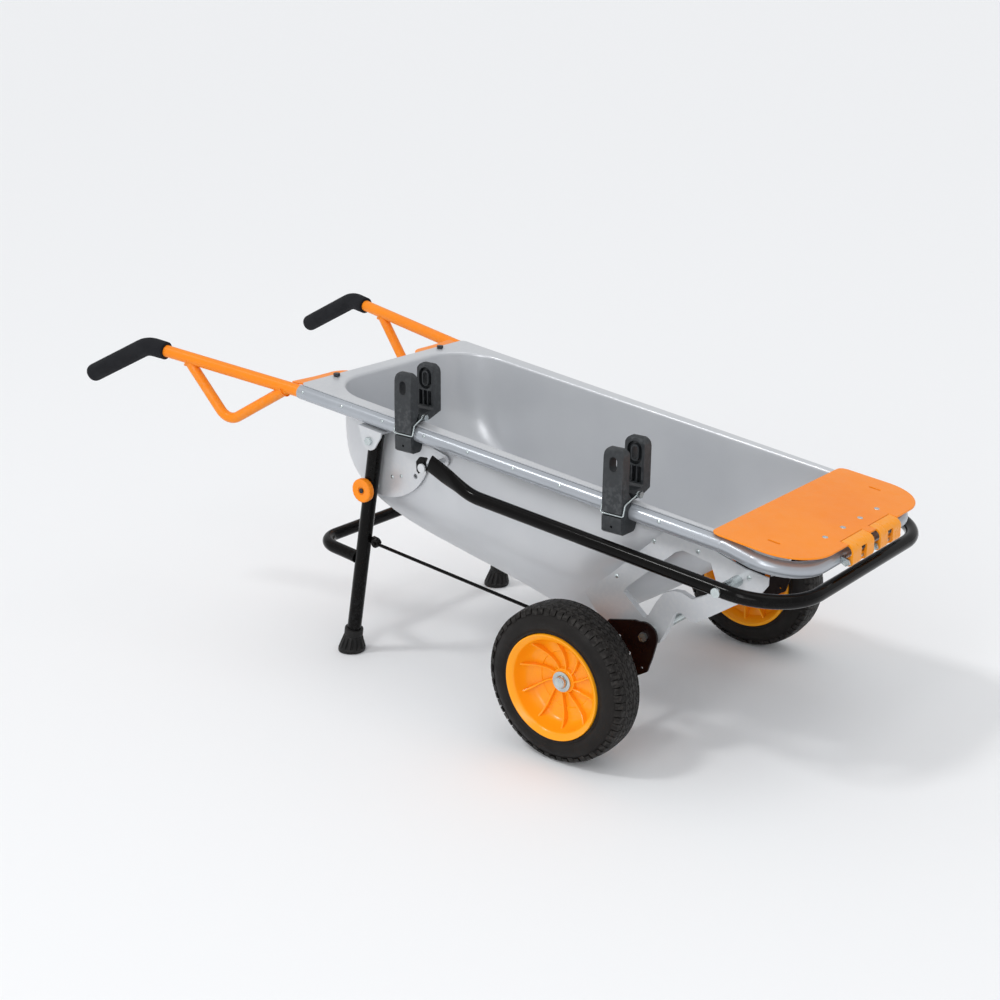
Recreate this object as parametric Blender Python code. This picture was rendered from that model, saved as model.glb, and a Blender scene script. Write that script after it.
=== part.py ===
"""Convertible two-wheeled yard cart: a steel tub on side rails, with folding legs and a
swinging axle that turn it into a hand truck.

Frame: +X is the front, +Z is up, Z = 0 is the ground, Y = 0 is the plane of symmetry.
The pusher's right side is -Y. Lengths are in metres.
"""
import math

import bmesh
import bpy
from mathutils import Matrix, Vector

GAP = 0.0003                 # clearance between touching pieces
CUT = 0.010                  # reach of a cutting shape beyond the piece it cuts
SIDES = (("right", -1.0), ("left", 1.0))

# Tub: a pressed steel tray whose rim lies in a plane that falls towards the front
RIM_REAR_X = -0.2487         # rear edge of the rim
RIM_REAR_Z = 0.480           # height of the rim's top at its rear edge
RIM_FALL = 0.1095            # fall of the rim for each metre forward
RIM_LENGTH = 0.978           # rear edge of the rim to its front edge
RIM_HALF_REAR = 0.219        # half width of the rim at its rear edge
RIM_TAPER = 0.0303           # loss of half width for each metre forward
FLANGE_REAR = 0.026
FLANGE_FRONT = 0.078
RIM_CORNER_REAR = 0.010
RIM_CORNER_FRONT = 0.080
MOUTH_CORNER = 0.090
SHEET = 0.002                # thickness of the tub's sheet
FLOOR_REAR_DEPTH = 0.181     # depth of the floor below the rim, under the rear edge
FLOOR_REAR_FALL = 0.335      # fall of the rear part of the floor for each metre forward
FLOOR_FRONT_DEPTH = 0.0185   # depth of the floor below the rim, under the front of the mouth
FLOOR_LOW_S = 0.529          # distance from the rear edge to the deepest line of the floor
FLOOR_BLEND = 0.012

# Side rails and the front rail
RAIL_R = 0.0125
RAIL_BORE_R = 0.0106
FLANGE_SIDE_REAR = RAIL_R + 0.0195       # width of the side flange at the rear edge
FLANGE_SIDE_FRONT = RAIL_R - 0.002016    # width of the side flange at the front edge
RAIL_LENGTH = RIM_LENGTH - 0.136
FRONT_RAIL_S = RIM_LENGTH - RAIL_R - 0.0005
FRONT_RAIL_DROP = 0.0243     # middle of the front rail below the rim
FRONT_RAIL_BEND = 0.070

# Handles and grips
HANDLE_R = 0.011
HANDLE_SPIGOT_R = 0.0100
HANDLE_SPIGOT = 0.030
HANDLE_RISE = 0.1159         # rise of the handle for each metre rearward
HANDLE_SPLAY = 0.1517        # spread of each handle for each metre rearward
GRIP_START_S = -0.2986
GRIP_BEND_S = -0.342
GRIP_END_S = -0.492
GRIP_END_Z = 0.430
GRIP_END_Y = RIM_HALF_REAR + 0.068
GRIP_BEND_R = 0.060
GRIP_R = 0.0168
LOOP_R = 0.0095
LOOP_TOP_S = -0.252
LOOP_LOW_S = -0.163
LOOP_LOW_DROP = 0.098
LOOP_FRONT_S = -0.026
LOOP_BEND_R = 0.030
TAB_REACH = 0.130            # length of the flat tab along the tub's rear edge
TAB_OVERHANG = 0.024
TAB_THICK = 0.003
TAB_BOLT_Y = RIM_HALF_REAR - 0.079
TAB_BOLT_R = 0.0032

# Folding legs
LEG_PIVOT_S = 0.1676
LEG_PIVOT_DROP = 0.0248755   # leg pivot below the underside of the rail
LEG_R = 0.0125
SECTOR_Y = RIM_HALF_REAR - 0.0305
LEG_Y = SECTOR_Y + LEG_R + 0.007
LEG_TILT = math.radians(9.8)
LEG_HEAD = 0.0135            # length of the leg above its pivot
PIVOT_R = 0.004
FOOT_R = 0.0245
FOOT_COLLAR_R = LEG_R + 0.0043
FOOT_HEIGHT = 0.046
FOOT_SOLE = 0.012
KICK_R = 0.011
KICK_S = 0.018               # rear edge of the rim to the kick bar's cross run
KICK_Z = 0.190
KICK_LEG_Z = 0.180
KICK_BEND_R = 0.045
LOCK_RADIUS = 0.092          # leg pivot to the lock pin
LEG_FOLD = math.radians(62.0)
LOCK_PIN_R = 0.004
KNOB_R = 0.0210
KNOB_THICK = 0.012

# Sector plates and leg brackets
SECTOR_THICK = 0.003
SECTOR_R = 0.1065
BRACKET_Y = LEG_Y + LEG_R + 0.003
BRACKET_THICK = 0.003
BRACKET_R = 0.0165
STUD_S = 0.3026
STUD_Z = 0.3934
STUD_R = 0.0045

# Tool clips on the right rail, whose outer face clears the arm
CLIP_S = (0.247, 0.668)
CLIP_SKIN = 0.005484         # outer face of the jaw beyond the rail, at the rear clip
CLIP_FACE_Y = RIM_HALF_REAR - RIM_TAPER * CLIP_S[0] + RAIL_R + CLIP_SKIN

# Extension arm
ARM_R = 0.011
ARM_Y = CLIP_FACE_Y + ARM_R + 0.001
ARM_BOLT_S = RIM_LENGTH - 0.108
ARM_BOLT_DROP = 0.061235     # arm bolt below the rim
ARM_BOLT_R = 0.004
ARM_FALL = 0.0916
ARM_FRONT_S = RIM_LENGTH - 0.002
ARM_BEND_R = 0.098
ARM_KNEE_S = 0.405
ARM_REAR_S = 0.316
ARM_REAR_Z = 0.404
HOOK_THICK = 0.004

# Side plates
PLATE_Y = SECTOR_Y + 0.001
PLATE_THICK = 0.003

# Axle carrier, link rods and wheels
WHEEL_R = 0.127
CARRIER_PIVOT_S = ARM_BOLT_S - 0.1438
CARRIER_PIVOT_Z = WHEEL_R + 0.0755
CARRIER_Y = LEG_Y + 0.0045
CARRIER_THICK = 0.004
AXLE_S = CARRIER_PIVOT_S - 0.0958
AXLE_R = 0.008
TYRE_HALF = 0.0345
TREAD_HALF = 0.026
WHEEL_Y = ARM_Y + ARM_R + TYRE_HALF + 0.0037
RIM_R = WHEEL_R - 0.041
RIM_HALF = 0.0356
BEAD_SEAT_R = RIM_R - 0.008
BEAD_HALF = RIM_HALF - 0.0071
HUB_R = 0.020
HUB_HALF = 0.0035
WASHER_R = 0.0165
AXLE_END_Y = WHEEL_Y + HUB_HALF + 0.0088
ROD_Y = LEG_Y - 0.001
ROD_R = 0.003
ROD_EYE_R = 0.008
ROD_LEG_RADIUS = 0.190       # leg pivot to the rod's rear eye, along the leg
ROD_LEG_OFFSET = 0.0245      # rod's rear eye ahead of the leg's centre line
ROD_FRONT_S = AXLE_S + 0.0146
ROD_FRONT_Z = WHEEL_R + 0.0465

# Toe plate and its hinges
HINGE_PIN_S = FRONT_RAIL_S + RAIL_R + 0.0105
TOE_REAR_S = RIM_LENGTH - 0.153
TOE_FRONT_S = HINGE_PIN_S - 0.002
TOE_HALF = RIM_HALF_REAR - RIM_TAPER * RIM_LENGTH + 0.0146
TOE_THICK = 0.003
TOE_CORNER = 0.075
TOE_CHAMFER = 0.014
HINGE_Y = 0.045
HINGE_HALF = 0.034
HINGE_PIN_DROP = 0.024       # hinge pin below the rim's plane
HINGE_PIN_R = 0.003
HINGE_WALL = 0.0035

# More sizes of the tool clips
CLIP_HALF = 0.018
CLIP_JAW_THICK = 0.019
CLIP_HEIGHT = 0.088          # jaw top above the rim
CLIP_SLOT = 0.038            # gap between the jaws
CLIP_INNER_THICK = 0.019
CLIP_FLOOR = 0.016           # slot floor above the rim
CLIP_WRAP = 0.021            # base below the rail's centre beyond the rail
BAIL_R = 0.0013
BAIL_SIDE = 0.0024           # middle of the wire beyond the sides of the jaws
BAIL_GROOVE = 0.0042         # depth of the jaw's groove, room for the wire as the jaw opens
BAIL_HOOK_Z = -0.002         # wire on the outer jaw, above the rail's centre


def at(s):
    """X of a point a distance s ahead of the rim's rear edge."""
    return RIM_REAR_X + s


def rim_z(s):
    return RIM_REAR_Z - RIM_FALL * s


def rim_half(s):
    return RIM_HALF_REAR - RIM_TAPER * s


def rail_z(s):
    return rim_z(s) - SHEET - GAP - RAIL_R * math.hypot(1.0, RIM_FALL)


def floor_z(s):
    """Height of the tub floor's centre line, two slopes blended at the deepest line."""
    low = RIM_REAR_Z - FLOOR_REAR_DEPTH - FLOOR_REAR_FALL * FLOOR_LOW_S
    mouth_s = RIM_LENGTH - FLANGE_FRONT
    rise = (rim_z(mouth_s) - FLOOR_FRONT_DEPTH - low) / (mouth_s - FLOOR_LOW_S)
    rear = low + FLOOR_REAR_FALL * (FLOOR_LOW_S - s)
    front = low + rise * (s - FLOOR_LOW_S)
    half = 0.5 * (rear - front)
    return 0.5 * (rear + front) + math.hypot(half, FLOOR_BLEND)


# Heights that follow the rim and the rails
FRONT_RAIL_Z = rim_z(FRONT_RAIL_S) - FRONT_RAIL_DROP
LEG_PIVOT_Z = rail_z(LEG_PIVOT_S) - RAIL_R - LEG_PIVOT_DROP
ARM_BOLT_Z = rim_z(ARM_BOLT_S) - ARM_BOLT_DROP


# ---------------------------------------------------------------- mesh helpers

def material(name, colour, roughness, metallic=0.0):
    """A Principled BSDF material."""
    made = bpy.data.materials.new(name)
    made.use_nodes = True
    shader = made.node_tree.nodes["Principled BSDF"]
    shader.inputs["Base Color"].default_value = (*colour, 1.0)
    shader.inputs["Roughness"].default_value = roughness
    shader.inputs["Metallic"].default_value = metallic
    made.diffuse_color = (*colour, 1.0)
    return made


def add_object(name, bm, finish, origin=(0.0, 0.0, 0.0), smooth=True):
    """Turn a bmesh in world space into an object whose origin is at origin."""
    bmesh.ops.remove_doubles(bm, verts=bm.verts, dist=1e-6)
    bmesh.ops.recalc_face_normals(bm, faces=bm.faces)
    bmesh.ops.translate(bm, verts=bm.verts, vec=-Vector(origin))
    mesh = bpy.data.meshes.new(name)
    bm.to_mesh(mesh)
    bm.free()
    if smooth:
        mesh.shade_smooth()
        mesh.set_sharp_from_angle(angle=math.radians(35.0))
    made = bpy.data.objects.new(name, mesh)
    made.location = origin
    made.data.materials.append(FINISHES[finish](name + "_finish"))
    bpy.context.scene.collection.objects.link(made)
    return made


def frames(path):
    """Parallel-transported frames along a path of points."""
    count = len(path)
    tangents = []
    for i in range(count):
        before = path[max(i - 1, 0)]
        after = path[min(i + 1, count - 1)]
        tangents.append((after - before).normalized())
    side = tangents[0].cross(Vector((0.0, 0.0, 1.0)))
    if side.length < 1e-3:
        side = Vector((0.0, 1.0, 0.0))
    side.normalize()
    result = []
    for i in range(count):
        if i:
            side = side - tangents[i] * side.dot(tangents[i])
            side.normalize()
        result.append((side, tangents[i].cross(side).normalized()))
    return result


def ring_verts(bm, centre, side, up, radius, count):
    made = []
    for k in range(count):
        a = 2.0 * math.pi * k / count
        made.append(bm.verts.new(centre + side * (radius * math.cos(a)) + up * (radius * math.sin(a))))
    return made


def bridge(bm, first, second):
    count = len(first)
    for k in range(count):
        j = (k + 1) % count
        bm.faces.new((first[k], first[j], second[j], second[k]))


def sweep(path, radii, count=14):
    """A closed tube along path; radii is one radius or one for each point."""
    bm = bmesh.new()
    points = [Vector(p) for p in path]
    sizes = radii if isinstance(radii, (list, tuple)) else [radii] * len(points)
    rings = []
    for point, (side, up), radius in zip(points, frames(points), sizes):
        rings.append(ring_verts(bm, point, side, up, radius, count))
    for first, second in zip(rings, rings[1:]):
        bridge(bm, first, second)
    bm.faces.new(rings[0])
    bm.faces.new(rings[-1])
    return bm


def sleeve(path, radii, bore_path, bore_radii, count=16):
    """A blind sleeve: an outer skin along path and a bore along bore_path, joined at the start."""
    bm = bmesh.new()
    skins = []
    for line, sizes in ((path, radii), (bore_path, bore_radii)):
        points = [Vector(p) for p in line]
        rings = []
        for point, (side, up), radius in zip(points, frames(points), sizes):
            rings.append(ring_verts(bm, point, side, up, radius, count))
        for first, second in zip(rings, rings[1:]):
            bridge(bm, first, second)
        bm.faces.new(rings[-1])
        skins.append(rings)
    bridge(bm, skins[0][0], skins[1][0])
    return bm


def pipe(path, radius, bore, count=16):
    """A tube open at both ends."""
    bm = bmesh.new()
    points = [Vector(p) for p in path]
    spans = frames(points)
    outer = [ring_verts(bm, p, s, u, radius, count) for p, (s, u) in zip(points, spans)]
    inner = [ring_verts(bm, p, s, u, bore, count) for p, (s, u) in zip(points, spans)]
    for rings in (outer, inner):
        for first, second in zip(rings, rings[1:]):
            bridge(bm, first, second)
    bridge(bm, outer[0], inner[0])
    bridge(bm, outer[-1], inner[-1])
    return bm


def rounded(points, radii, steps=5, closed=False):
    """Replace the corners of a polyline with arcs."""
    pts = [Vector(p) for p in points]
    count = len(pts)
    result = []
    for i, corner in enumerate(pts):
        radius = radii[i]
        if radius <= 0.0 or (not closed and i in (0, count - 1)):
            result.append(corner)
            continue
        back = (pts[(i - 1) % count] - corner).normalized()
        ahead = (pts[(i + 1) % count] - corner).normalized()
        angle = back.angle(ahead)
        reach = radius / math.tan(angle / 2.0)
        centre = corner + (back + ahead).normalized() * (radius / math.sin(angle / 2.0))
        start = corner + back * reach - centre
        end = corner + ahead * reach - centre
        turn = start.angle(end)
        for k in range(steps + 1):
            t = k / steps
            weight = math.sin(turn)
            blend = (start * math.sin((1.0 - t) * turn) + end * math.sin(t * turn)) / weight
            result.append(centre + blend)
    return result


def plate(outline, y_low, y_high):
    """A flat plate: an outline of (x, z) points between two Y values."""
    bm = bmesh.new()
    first = [bm.verts.new((x, y_low, z)) for x, z in outline]
    second = [bm.verts.new((x, y_high, z)) for x, z in outline]
    bridge(bm, first, second)
    bm.faces.new(first)
    bm.faces.new(second)
    return bm


def rod_y(x, z, y_low, y_high, radius, count=12):
    """A cylinder along Y."""
    return sweep([(x, y_low, z), (x, y_high, z)], radius, count)


def arc(cx, cz, radius, start, end, steps):
    """Points of an arc in XZ; angles in degrees from +X towards +Z."""
    made = []
    for k in range(steps + 1):
        a = math.radians(start + (end - start) * k / steps)
        made.append((cx + radius * math.cos(a), cz + radius * math.sin(a)))
    return made


def tool_object(name, bm):
    """A hidden object used as a Boolean operand."""
    bmesh.ops.remove_doubles(bm, verts=bm.verts, dist=1e-6)
    bmesh.ops.recalc_face_normals(bm, faces=bm.faces)
    mesh = bpy.data.meshes.new(name)
    bm.to_mesh(mesh)
    bm.free()
    made = bpy.data.objects.new(name, mesh)
    made.hide_render = True
    made.display_type = "WIRE"
    bpy.context.scene.collection.objects.link(made)
    return made


def combine(piece, operation, *shapes):
    """Add EXACT Booleans to a piece and apply them in order."""
    for number, bm in enumerate(shapes):
        tool = tool_object(f"{piece.name}_tool_{number}", bm)
        change = piece.modifiers.new(f"{operation.lower()}_{number}", "BOOLEAN")
        change.operation = operation
        change.solver = "EXACT"
        change.object = tool
        bpy.context.view_layer.update()
        graph = bpy.context.evaluated_depsgraph_get()
        mesh = bpy.data.meshes.new_from_object(piece.evaluated_get(graph))
        piece.modifiers.remove(change)
        mesh.name = piece.name
        piece.data = mesh
        bpy.data.objects.remove(tool)
    piece.data.shade_smooth()
    piece.data.set_sharp_from_angle(angle=math.radians(35.0))
    return piece


def low_high(side, near, far):
    """Order two distances from the symmetry plane as Y values on one side."""
    return sorted((side * near, side * far))


# ---------------------------------------------------------------- finishes

def steel_grey(name):
    return material(name, (0.42, 0.44, 0.47), 0.38, 0.6)


def orange_paint(name):
    return material(name, (0.93, 0.27, 0.02), 0.35)


def black_paint(name):
    return material(name, (0.012, 0.012, 0.013), 0.25)


def dark_plastic(name):
    return material(name, (0.035, 0.037, 0.040), 0.55)


def foam(name):
    return material(name, (0.018, 0.019, 0.022), 0.85)


def rubber(name):
    return material(name, (0.020, 0.020, 0.020), 0.75)


def orange_plastic(name):
    return material(name, (0.95, 0.33, 0.02), 0.35)


def zinc(name):
    return material(name, (0.62, 0.66, 0.68), 0.30, 0.9)


FINISHES = {
    "steel_grey": steel_grey,
    "orange_paint": orange_paint,
    "black_paint": black_paint,
    "dark_plastic": dark_plastic,
    "foam": foam,
    "rubber": rubber,
    "orange_plastic": orange_plastic,
    "zinc": zinc,
}


# ---------------------------------------------------------------- tub

def plan_outline(rear_s, front_s, half_at, corner_rear, corner_front, side_points=12, end_points=5):
    """A rounded outline in plan with a fixed number of points, starting at the rear left."""
    rear_half = half_at(rear_s)
    front_half = half_at(front_s)
    points = []
    corners = (
        (rear_s, rear_half, corner_rear, 180.0, 90.0),
        (front_s, front_half, corner_front, 90.0, 0.0),
        (front_s, -front_half, corner_front, 0.0, -90.0),
        (rear_s, -rear_half, corner_rear, -90.0, -180.0),
    )
    runs = (side_points, end_points, side_points, end_points)
    arcs = []
    for s, y, radius, start, end in corners:
        cx = s + radius if s == rear_s else s - radius
        cy = y - math.copysign(radius, y)
        steps = 6
        turn = []
        for k in range(steps + 1):
            a = math.radians(start + (end - start) * k / steps)
            turn.append((cx + radius * math.cos(a), cy + radius * math.sin(a)))
        arcs.append(turn)
    for i, turn in enumerate(arcs):
        points.extend(turn)
        following = arcs[(i + 1) % 4][0]
        last = turn[-1]
        for k in range(1, runs[i]):
            t = k / runs[i]
            points.append((last[0] + (following[0] - last[0]) * t, last[1] + (following[1] - last[1]) * t))
    return points


def mouth_half(s):
    narrowing = (FLANGE_SIDE_REAR - FLANGE_SIDE_FRONT) * s / RIM_LENGTH
    return rim_half(s) - FLANGE_SIDE_REAR + narrowing


def make_tub():
    """The tray: a flange round the mouth, steep sides and a floor with two slopes."""
    bm = bmesh.new()
    edge = plan_outline(0.0, RIM_LENGTH, rim_half, RIM_CORNER_REAR, RIM_CORNER_FRONT)
    mouth = plan_outline(FLANGE_REAR, RIM_LENGTH - FLANGE_FRONT, mouth_half, MOUTH_CORNER, MOUTH_CORNER)
    rings = [[bm.verts.new((at(s), y, rim_z(s))) for s, y in line] for line in (edge, mouth)]
    centre_s = FLOOR_LOW_S
    for reach in (0.997, 0.99, 0.965, 0.93, 0.88, 0.80, 0.68, 0.52, 0.34, 0.16):
        ring = []
        for s, y in mouth:
            along = (s - centre_s) / (0.5 * RIM_LENGTH)
            squareness = 3.0 + (3.0 if along < 0.0 else 0.5) * min(abs(along), 1.0) ** 3
            share = (1.0 - reach ** squareness) ** (1.0 / squareness)
            s_in = centre_s + (s - centre_s) * reach
            z = rim_z(s_in) + share * (floor_z(s_in) - rim_z(s_in))
            ring.append(bm.verts.new((at(s_in), y * reach, z)))
        rings.append(ring)
    for first, second in zip(rings, rings[1:]):
        bridge(bm, first, second)
    pole = bm.verts.new((at(centre_s), 0.0, floor_z(centre_s)))
    last = rings[-1]
    for k in range(len(last)):
        bm.faces.new((last[k], last[(k + 1) % len(last)], pole))
    bmesh.ops.recalc_face_normals(bm, faces=bm.faces)
    if sum(face.normal.z * face.calc_area() for face in bm.faces) < 0.0:
        bmesh.ops.reverse_faces(bm, faces=bm.faces)
    thicken(bm, SHEET)
    tub = add_object("tub", bm, "steel_grey")
    holes = []
    for _, side in SIDES:
        x = at(FLANGE_REAR * 0.4)
        ends = [(x, side * TAB_BOLT_Y, RIM_REAR_Z - 0.04), (x, side * TAB_BOLT_Y, RIM_REAR_Z + 0.04)]
        holes.append(sweep(ends, TAB_BOLT_R + GAP, 10))
    combine(tub, "DIFFERENCE", *holes)
    return tub


def thicken(bm, thickness):
    """Give an open sheet a second skin below it and close the edge between them."""
    bm.normal_update()
    boundary = [edge for edge in bm.edges if edge.is_boundary]
    top = list(bm.verts)
    shift = {}
    for vert in top:
        normal = vert.normal.copy()
        if any(edge.is_boundary for edge in vert.link_edges):
            normal = Vector((0.0, 0.0, 1.0))
        shift[vert] = bm.verts.new(vert.co - normal * thickness)
    for face in list(bm.faces):
        bm.faces.new([shift[v] for v in reversed(face.verts)])
    for edge in boundary:
        a, b = edge.verts
        bm.faces.new((a, b, shift[b], shift[a]))


# ---------------------------------------------------------------- frame

def make_rails():
    for name, side in SIDES:
        ends = [(at(s), side * rim_half(s), rail_z(s)) for s in (0.0, RAIL_LENGTH)]
        add_object(f"{name}_rail", pipe(ends, RAIL_R, RAIL_BORE_R, 18), "steel_grey")
    start_s = RAIL_LENGTH + GAP
    lead_s = start_s + 0.006
    half = rim_half(lead_s)
    turn_s = start_s + 0.050
    turn_z = rail_z(turn_s) - 0.006
    line = []
    radii = []
    for side in (-1.0, 1.0):
        group = [(at(start_s), side * rim_half(start_s), rail_z(start_s)),
                 (at(lead_s), side * half, rail_z(lead_s)),
                 (at(turn_s), side * half, turn_z),
                 (at(FRONT_RAIL_S), side * half, FRONT_RAIL_Z)]
        sizes = [0.0, 0.0, 0.030, FRONT_RAIL_BEND]
        if side > 0.0:
            group.reverse()
            sizes.reverse()
        line.extend(group)
        radii.extend(sizes)
    add_object("front_rail", pipe(rounded(line, radii), RAIL_R, RAIL_BORE_R, 16), "steel_grey")


def handle_z(s):
    return rail_z(0.0) - HANDLE_RISE * s


def handle_y(s):
    return rim_half(0.0) - HANDLE_SPLAY * s


def make_handles():
    """Bent handle tubes with a finger loop below, a flat tab along the rear edge, and grips."""
    for name, side in SIDES:
        def place(s, z=None, y=None):
            return Vector((at(s), side * (handle_y(s) if y is None else y), handle_z(s) if z is None else z))

        end = place(GRIP_END_S, GRIP_END_Z, GRIP_END_Y)
        bend = place(GRIP_BEND_S)
        toward = (end - bend).normalized()
        tube_end = end - toward * 0.012
        rail_way = Vector((1.0, -side * RIM_TAPER, -RIM_FALL)).normalized()
        rail_end = place(0.0)
        corners = [rail_end - rail_way * GAP, rail_end - rail_way * 0.006, place(GRIP_START_S), bend, tube_end]
        line = rounded(corners, [0, 0, 0, GRIP_BEND_R, 0], 6)
        handle = add_object(f"{name}_handle", sweep(line, HANDLE_R, 14), "orange_paint")
        spigot_line = [rail_end - rail_way * 0.005, rail_end + rail_way * HANDLE_SPIGOT]
        spigot = sweep(spigot_line, HANDLE_SPIGOT_R, 14)
        loop_line = [place(LOOP_TOP_S), place(LOOP_LOW_S, handle_z(LOOP_LOW_S) - LOOP_LOW_DROP),
                     place(LOOP_FRONT_S)]
        loop = sweep(rounded(loop_line, [0, LOOP_BEND_R, 0], 6), LOOP_R, 12)
        top = rim_z(0.0) - SHEET - GAP
        inner = rim_half(0.0) - TAB_REACH
        rail_edge = rim_half(0.0) - RAIL_R - 0.002
        corners = [(-TAB_OVERHANG, inner), (-TAB_OVERHANG, rim_half(0.0)), (-0.001, rim_half(0.0)),
                   (-0.001, rail_edge), (FLANGE_REAR - 0.006, rail_edge), (FLANGE_REAR - 0.006, inner)]
        tab = bmesh.new()
        upper = [tab.verts.new((at(s), side * y, top - RIM_FALL * max(s, 0.0))) for s, y in corners]
        lower = [tab.verts.new((v.co.x, v.co.y, v.co.z - TAB_THICK)) for v in upper]
        bridge(tab, upper, lower)
        tab.faces.new(upper)
        tab.faces.new(lower)
        combine(handle, "UNION", spigot, loop, tab)
        x = at(FLANGE_REAR * 0.4)
        ends = [(x, side * TAB_BOLT_Y, RIM_REAR_Z - 0.03), (x, side * TAB_BOLT_Y, RIM_REAR_Z + 0.02)]
        hole = sweep(ends, TAB_BOLT_R + GAP, 10)
        combine(handle, "DIFFERENCE", hole)
        make_grip(name, side, place, bend, end, toward)
        make_tab_bolt(name, side)


def make_grip(name, side, place, bend, end, toward):
    start = place(GRIP_START_S)
    outer = rounded([start, bend, end], [0, GRIP_BEND_R, 0], 7)
    radii = [GRIP_R] * len(outer)
    outer[-1] = end - toward * 0.006
    outer.append(end)
    radii.append(GRIP_R * 0.72)
    bore = rounded([start, bend, end - toward * (0.012 - GAP)], [0, GRIP_BEND_R, 0], 7)
    add_object(f"{name}_grip", sleeve(outer, radii, bore, [HANDLE_R + GAP] * len(bore)), "foam")


def make_tab_bolt(name, side):
    """A bolt through the flange and the handle's tab, with its head on top and a nut below."""
    bolt_s = FLANGE_REAR * 0.4
    x = at(bolt_s)
    y = side * TAB_BOLT_Y
    top = rim_z(bolt_s - 0.0062) + GAP
    under = rim_z(bolt_s + 0.0062) - SHEET - TAB_THICK - 3.0 * GAP
    head = sweep([(x, y, top + 0.005), (x, y, top)], 0.0062, 6)
    bolt = add_object(f"{name}_tab_bolt", head, "dark_plastic")
    shank = sweep([(x, y, top + 0.002), (x, y, under - 0.002)], TAB_BOLT_R, 10)
    nut = sweep([(x, y, under), (x, y, under - 0.005)], 0.0062, 6)
    combine(bolt, "UNION", shank, nut)


def make_leg_supports():
    """Brackets under the rails, and the sector plates that lock the legs and hold the hook studs."""
    x0 = at(LEG_PIVOT_S)
    z0 = LEG_PIVOT_Z
    for name, side in SIDES:
        ear_top = rail_z(LEG_PIVOT_S) - RAIL_R - 0.0045
        y_ear = low_high(side, BRACKET_Y, BRACKET_Y + BRACKET_THICK)
        outline = [(x0 - 0.024, ear_top + 0.004), (x0 - 0.0165, z0)]
        outline += arc(x0, z0, BRACKET_R, 180.0, 340.0, 8)
        outline += [(x0 + 0.026, z0 + 0.010), (x0 + 0.028, ear_top - 0.002)]
        bracket = add_object(f"{name}_leg_bracket", plate(outline, *y_ear), "steel_grey")
        y_web = low_high(side, SECTOR_Y + SECTOR_THICK + GAP, BRACKET_Y + 0.001)
        web = [(x0 - 0.024, ear_top + 0.004), (x0 + 0.028, ear_top - 0.002),
               (x0 + 0.028, ear_top - 0.005), (x0 - 0.024, ear_top + 0.001)]
        combine(bracket, "UNION", plate(web, *y_web))
        wide = low_high(side, BRACKET_Y - CUT, BRACKET_Y + BRACKET_THICK + CUT)
        combine(bracket, "DIFFERENCE", rod_y(x0, z0, *wide, PIVOT_R + GAP))

        y_plate = low_high(side, SECTOR_Y, SECTOR_Y + SECTOR_THICK)
        stud_x = at(STUD_S)
        outline = [(x0 - 0.034, ear_top + 0.002)]
        outline += arc(x0, z0, SECTOR_R, 250.0, 338.0, 16)
        outline += arc(stud_x, STUD_Z, 0.011, 270.0, 420.0, 6)
        outline += [(x0 + 0.080, ear_top - 0.011)]
        sector = add_object(f"{name}_sector_plate", plate(outline, *y_plate), "steel_grey")
        stud = rod_y(stud_x, STUD_Z, *low_high(side, SECTOR_Y + 0.001, ARM_Y + 0.004), STUD_R)
        head = rod_y(stud_x, STUD_Z, *low_high(side, ARM_Y + 0.0035, ARM_Y + 0.0065), STUD_R * 1.7)
        combine(sector, "UNION", stud, head)
        wide = low_high(side, SECTOR_Y - CUT, SECTOR_Y + SECTOR_THICK + CUT)
        holes = [rod_y(x0, z0, *wide, PIVOT_R + GAP)]
        for turn in (0.0, LEG_FOLD):
            a = turn - LEG_TILT
            holes.append(rod_y(x0 + LOCK_RADIUS * math.sin(a), z0 - LOCK_RADIUS * math.cos(a),
                               *wide, LOCK_PIN_R + 0.0006))
        combine(sector, "DIFFERENCE", *holes)

        y_tip = SECTOR_Y - 0.0006
        y_head = BRACKET_Y + BRACKET_THICK + GAP
        shank = rod_y(x0, z0, *low_high(side, y_tip, y_head + 0.002), PIVOT_R)
        pin = add_object(f"{name}_leg_pivot_bolt", shank, "zinc")
        combine(pin, "UNION", rod_y(x0, z0, *low_high(side, y_head, y_head + 0.0045), 0.0075, 6))


def leg_point(along, offset=0.0):
    """A point (x, z) a distance along the leg below its pivot, offset ahead of its centre line."""
    down = (-math.sin(LEG_TILT), -math.cos(LEG_TILT))
    ahead = (math.cos(LEG_TILT), -math.sin(LEG_TILT))
    x = at(LEG_PIVOT_S) + down[0] * along + ahead[0] * offset
    z = LEG_PIVOT_Z + down[1] * along + ahead[1] * offset
    return x, z


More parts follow.
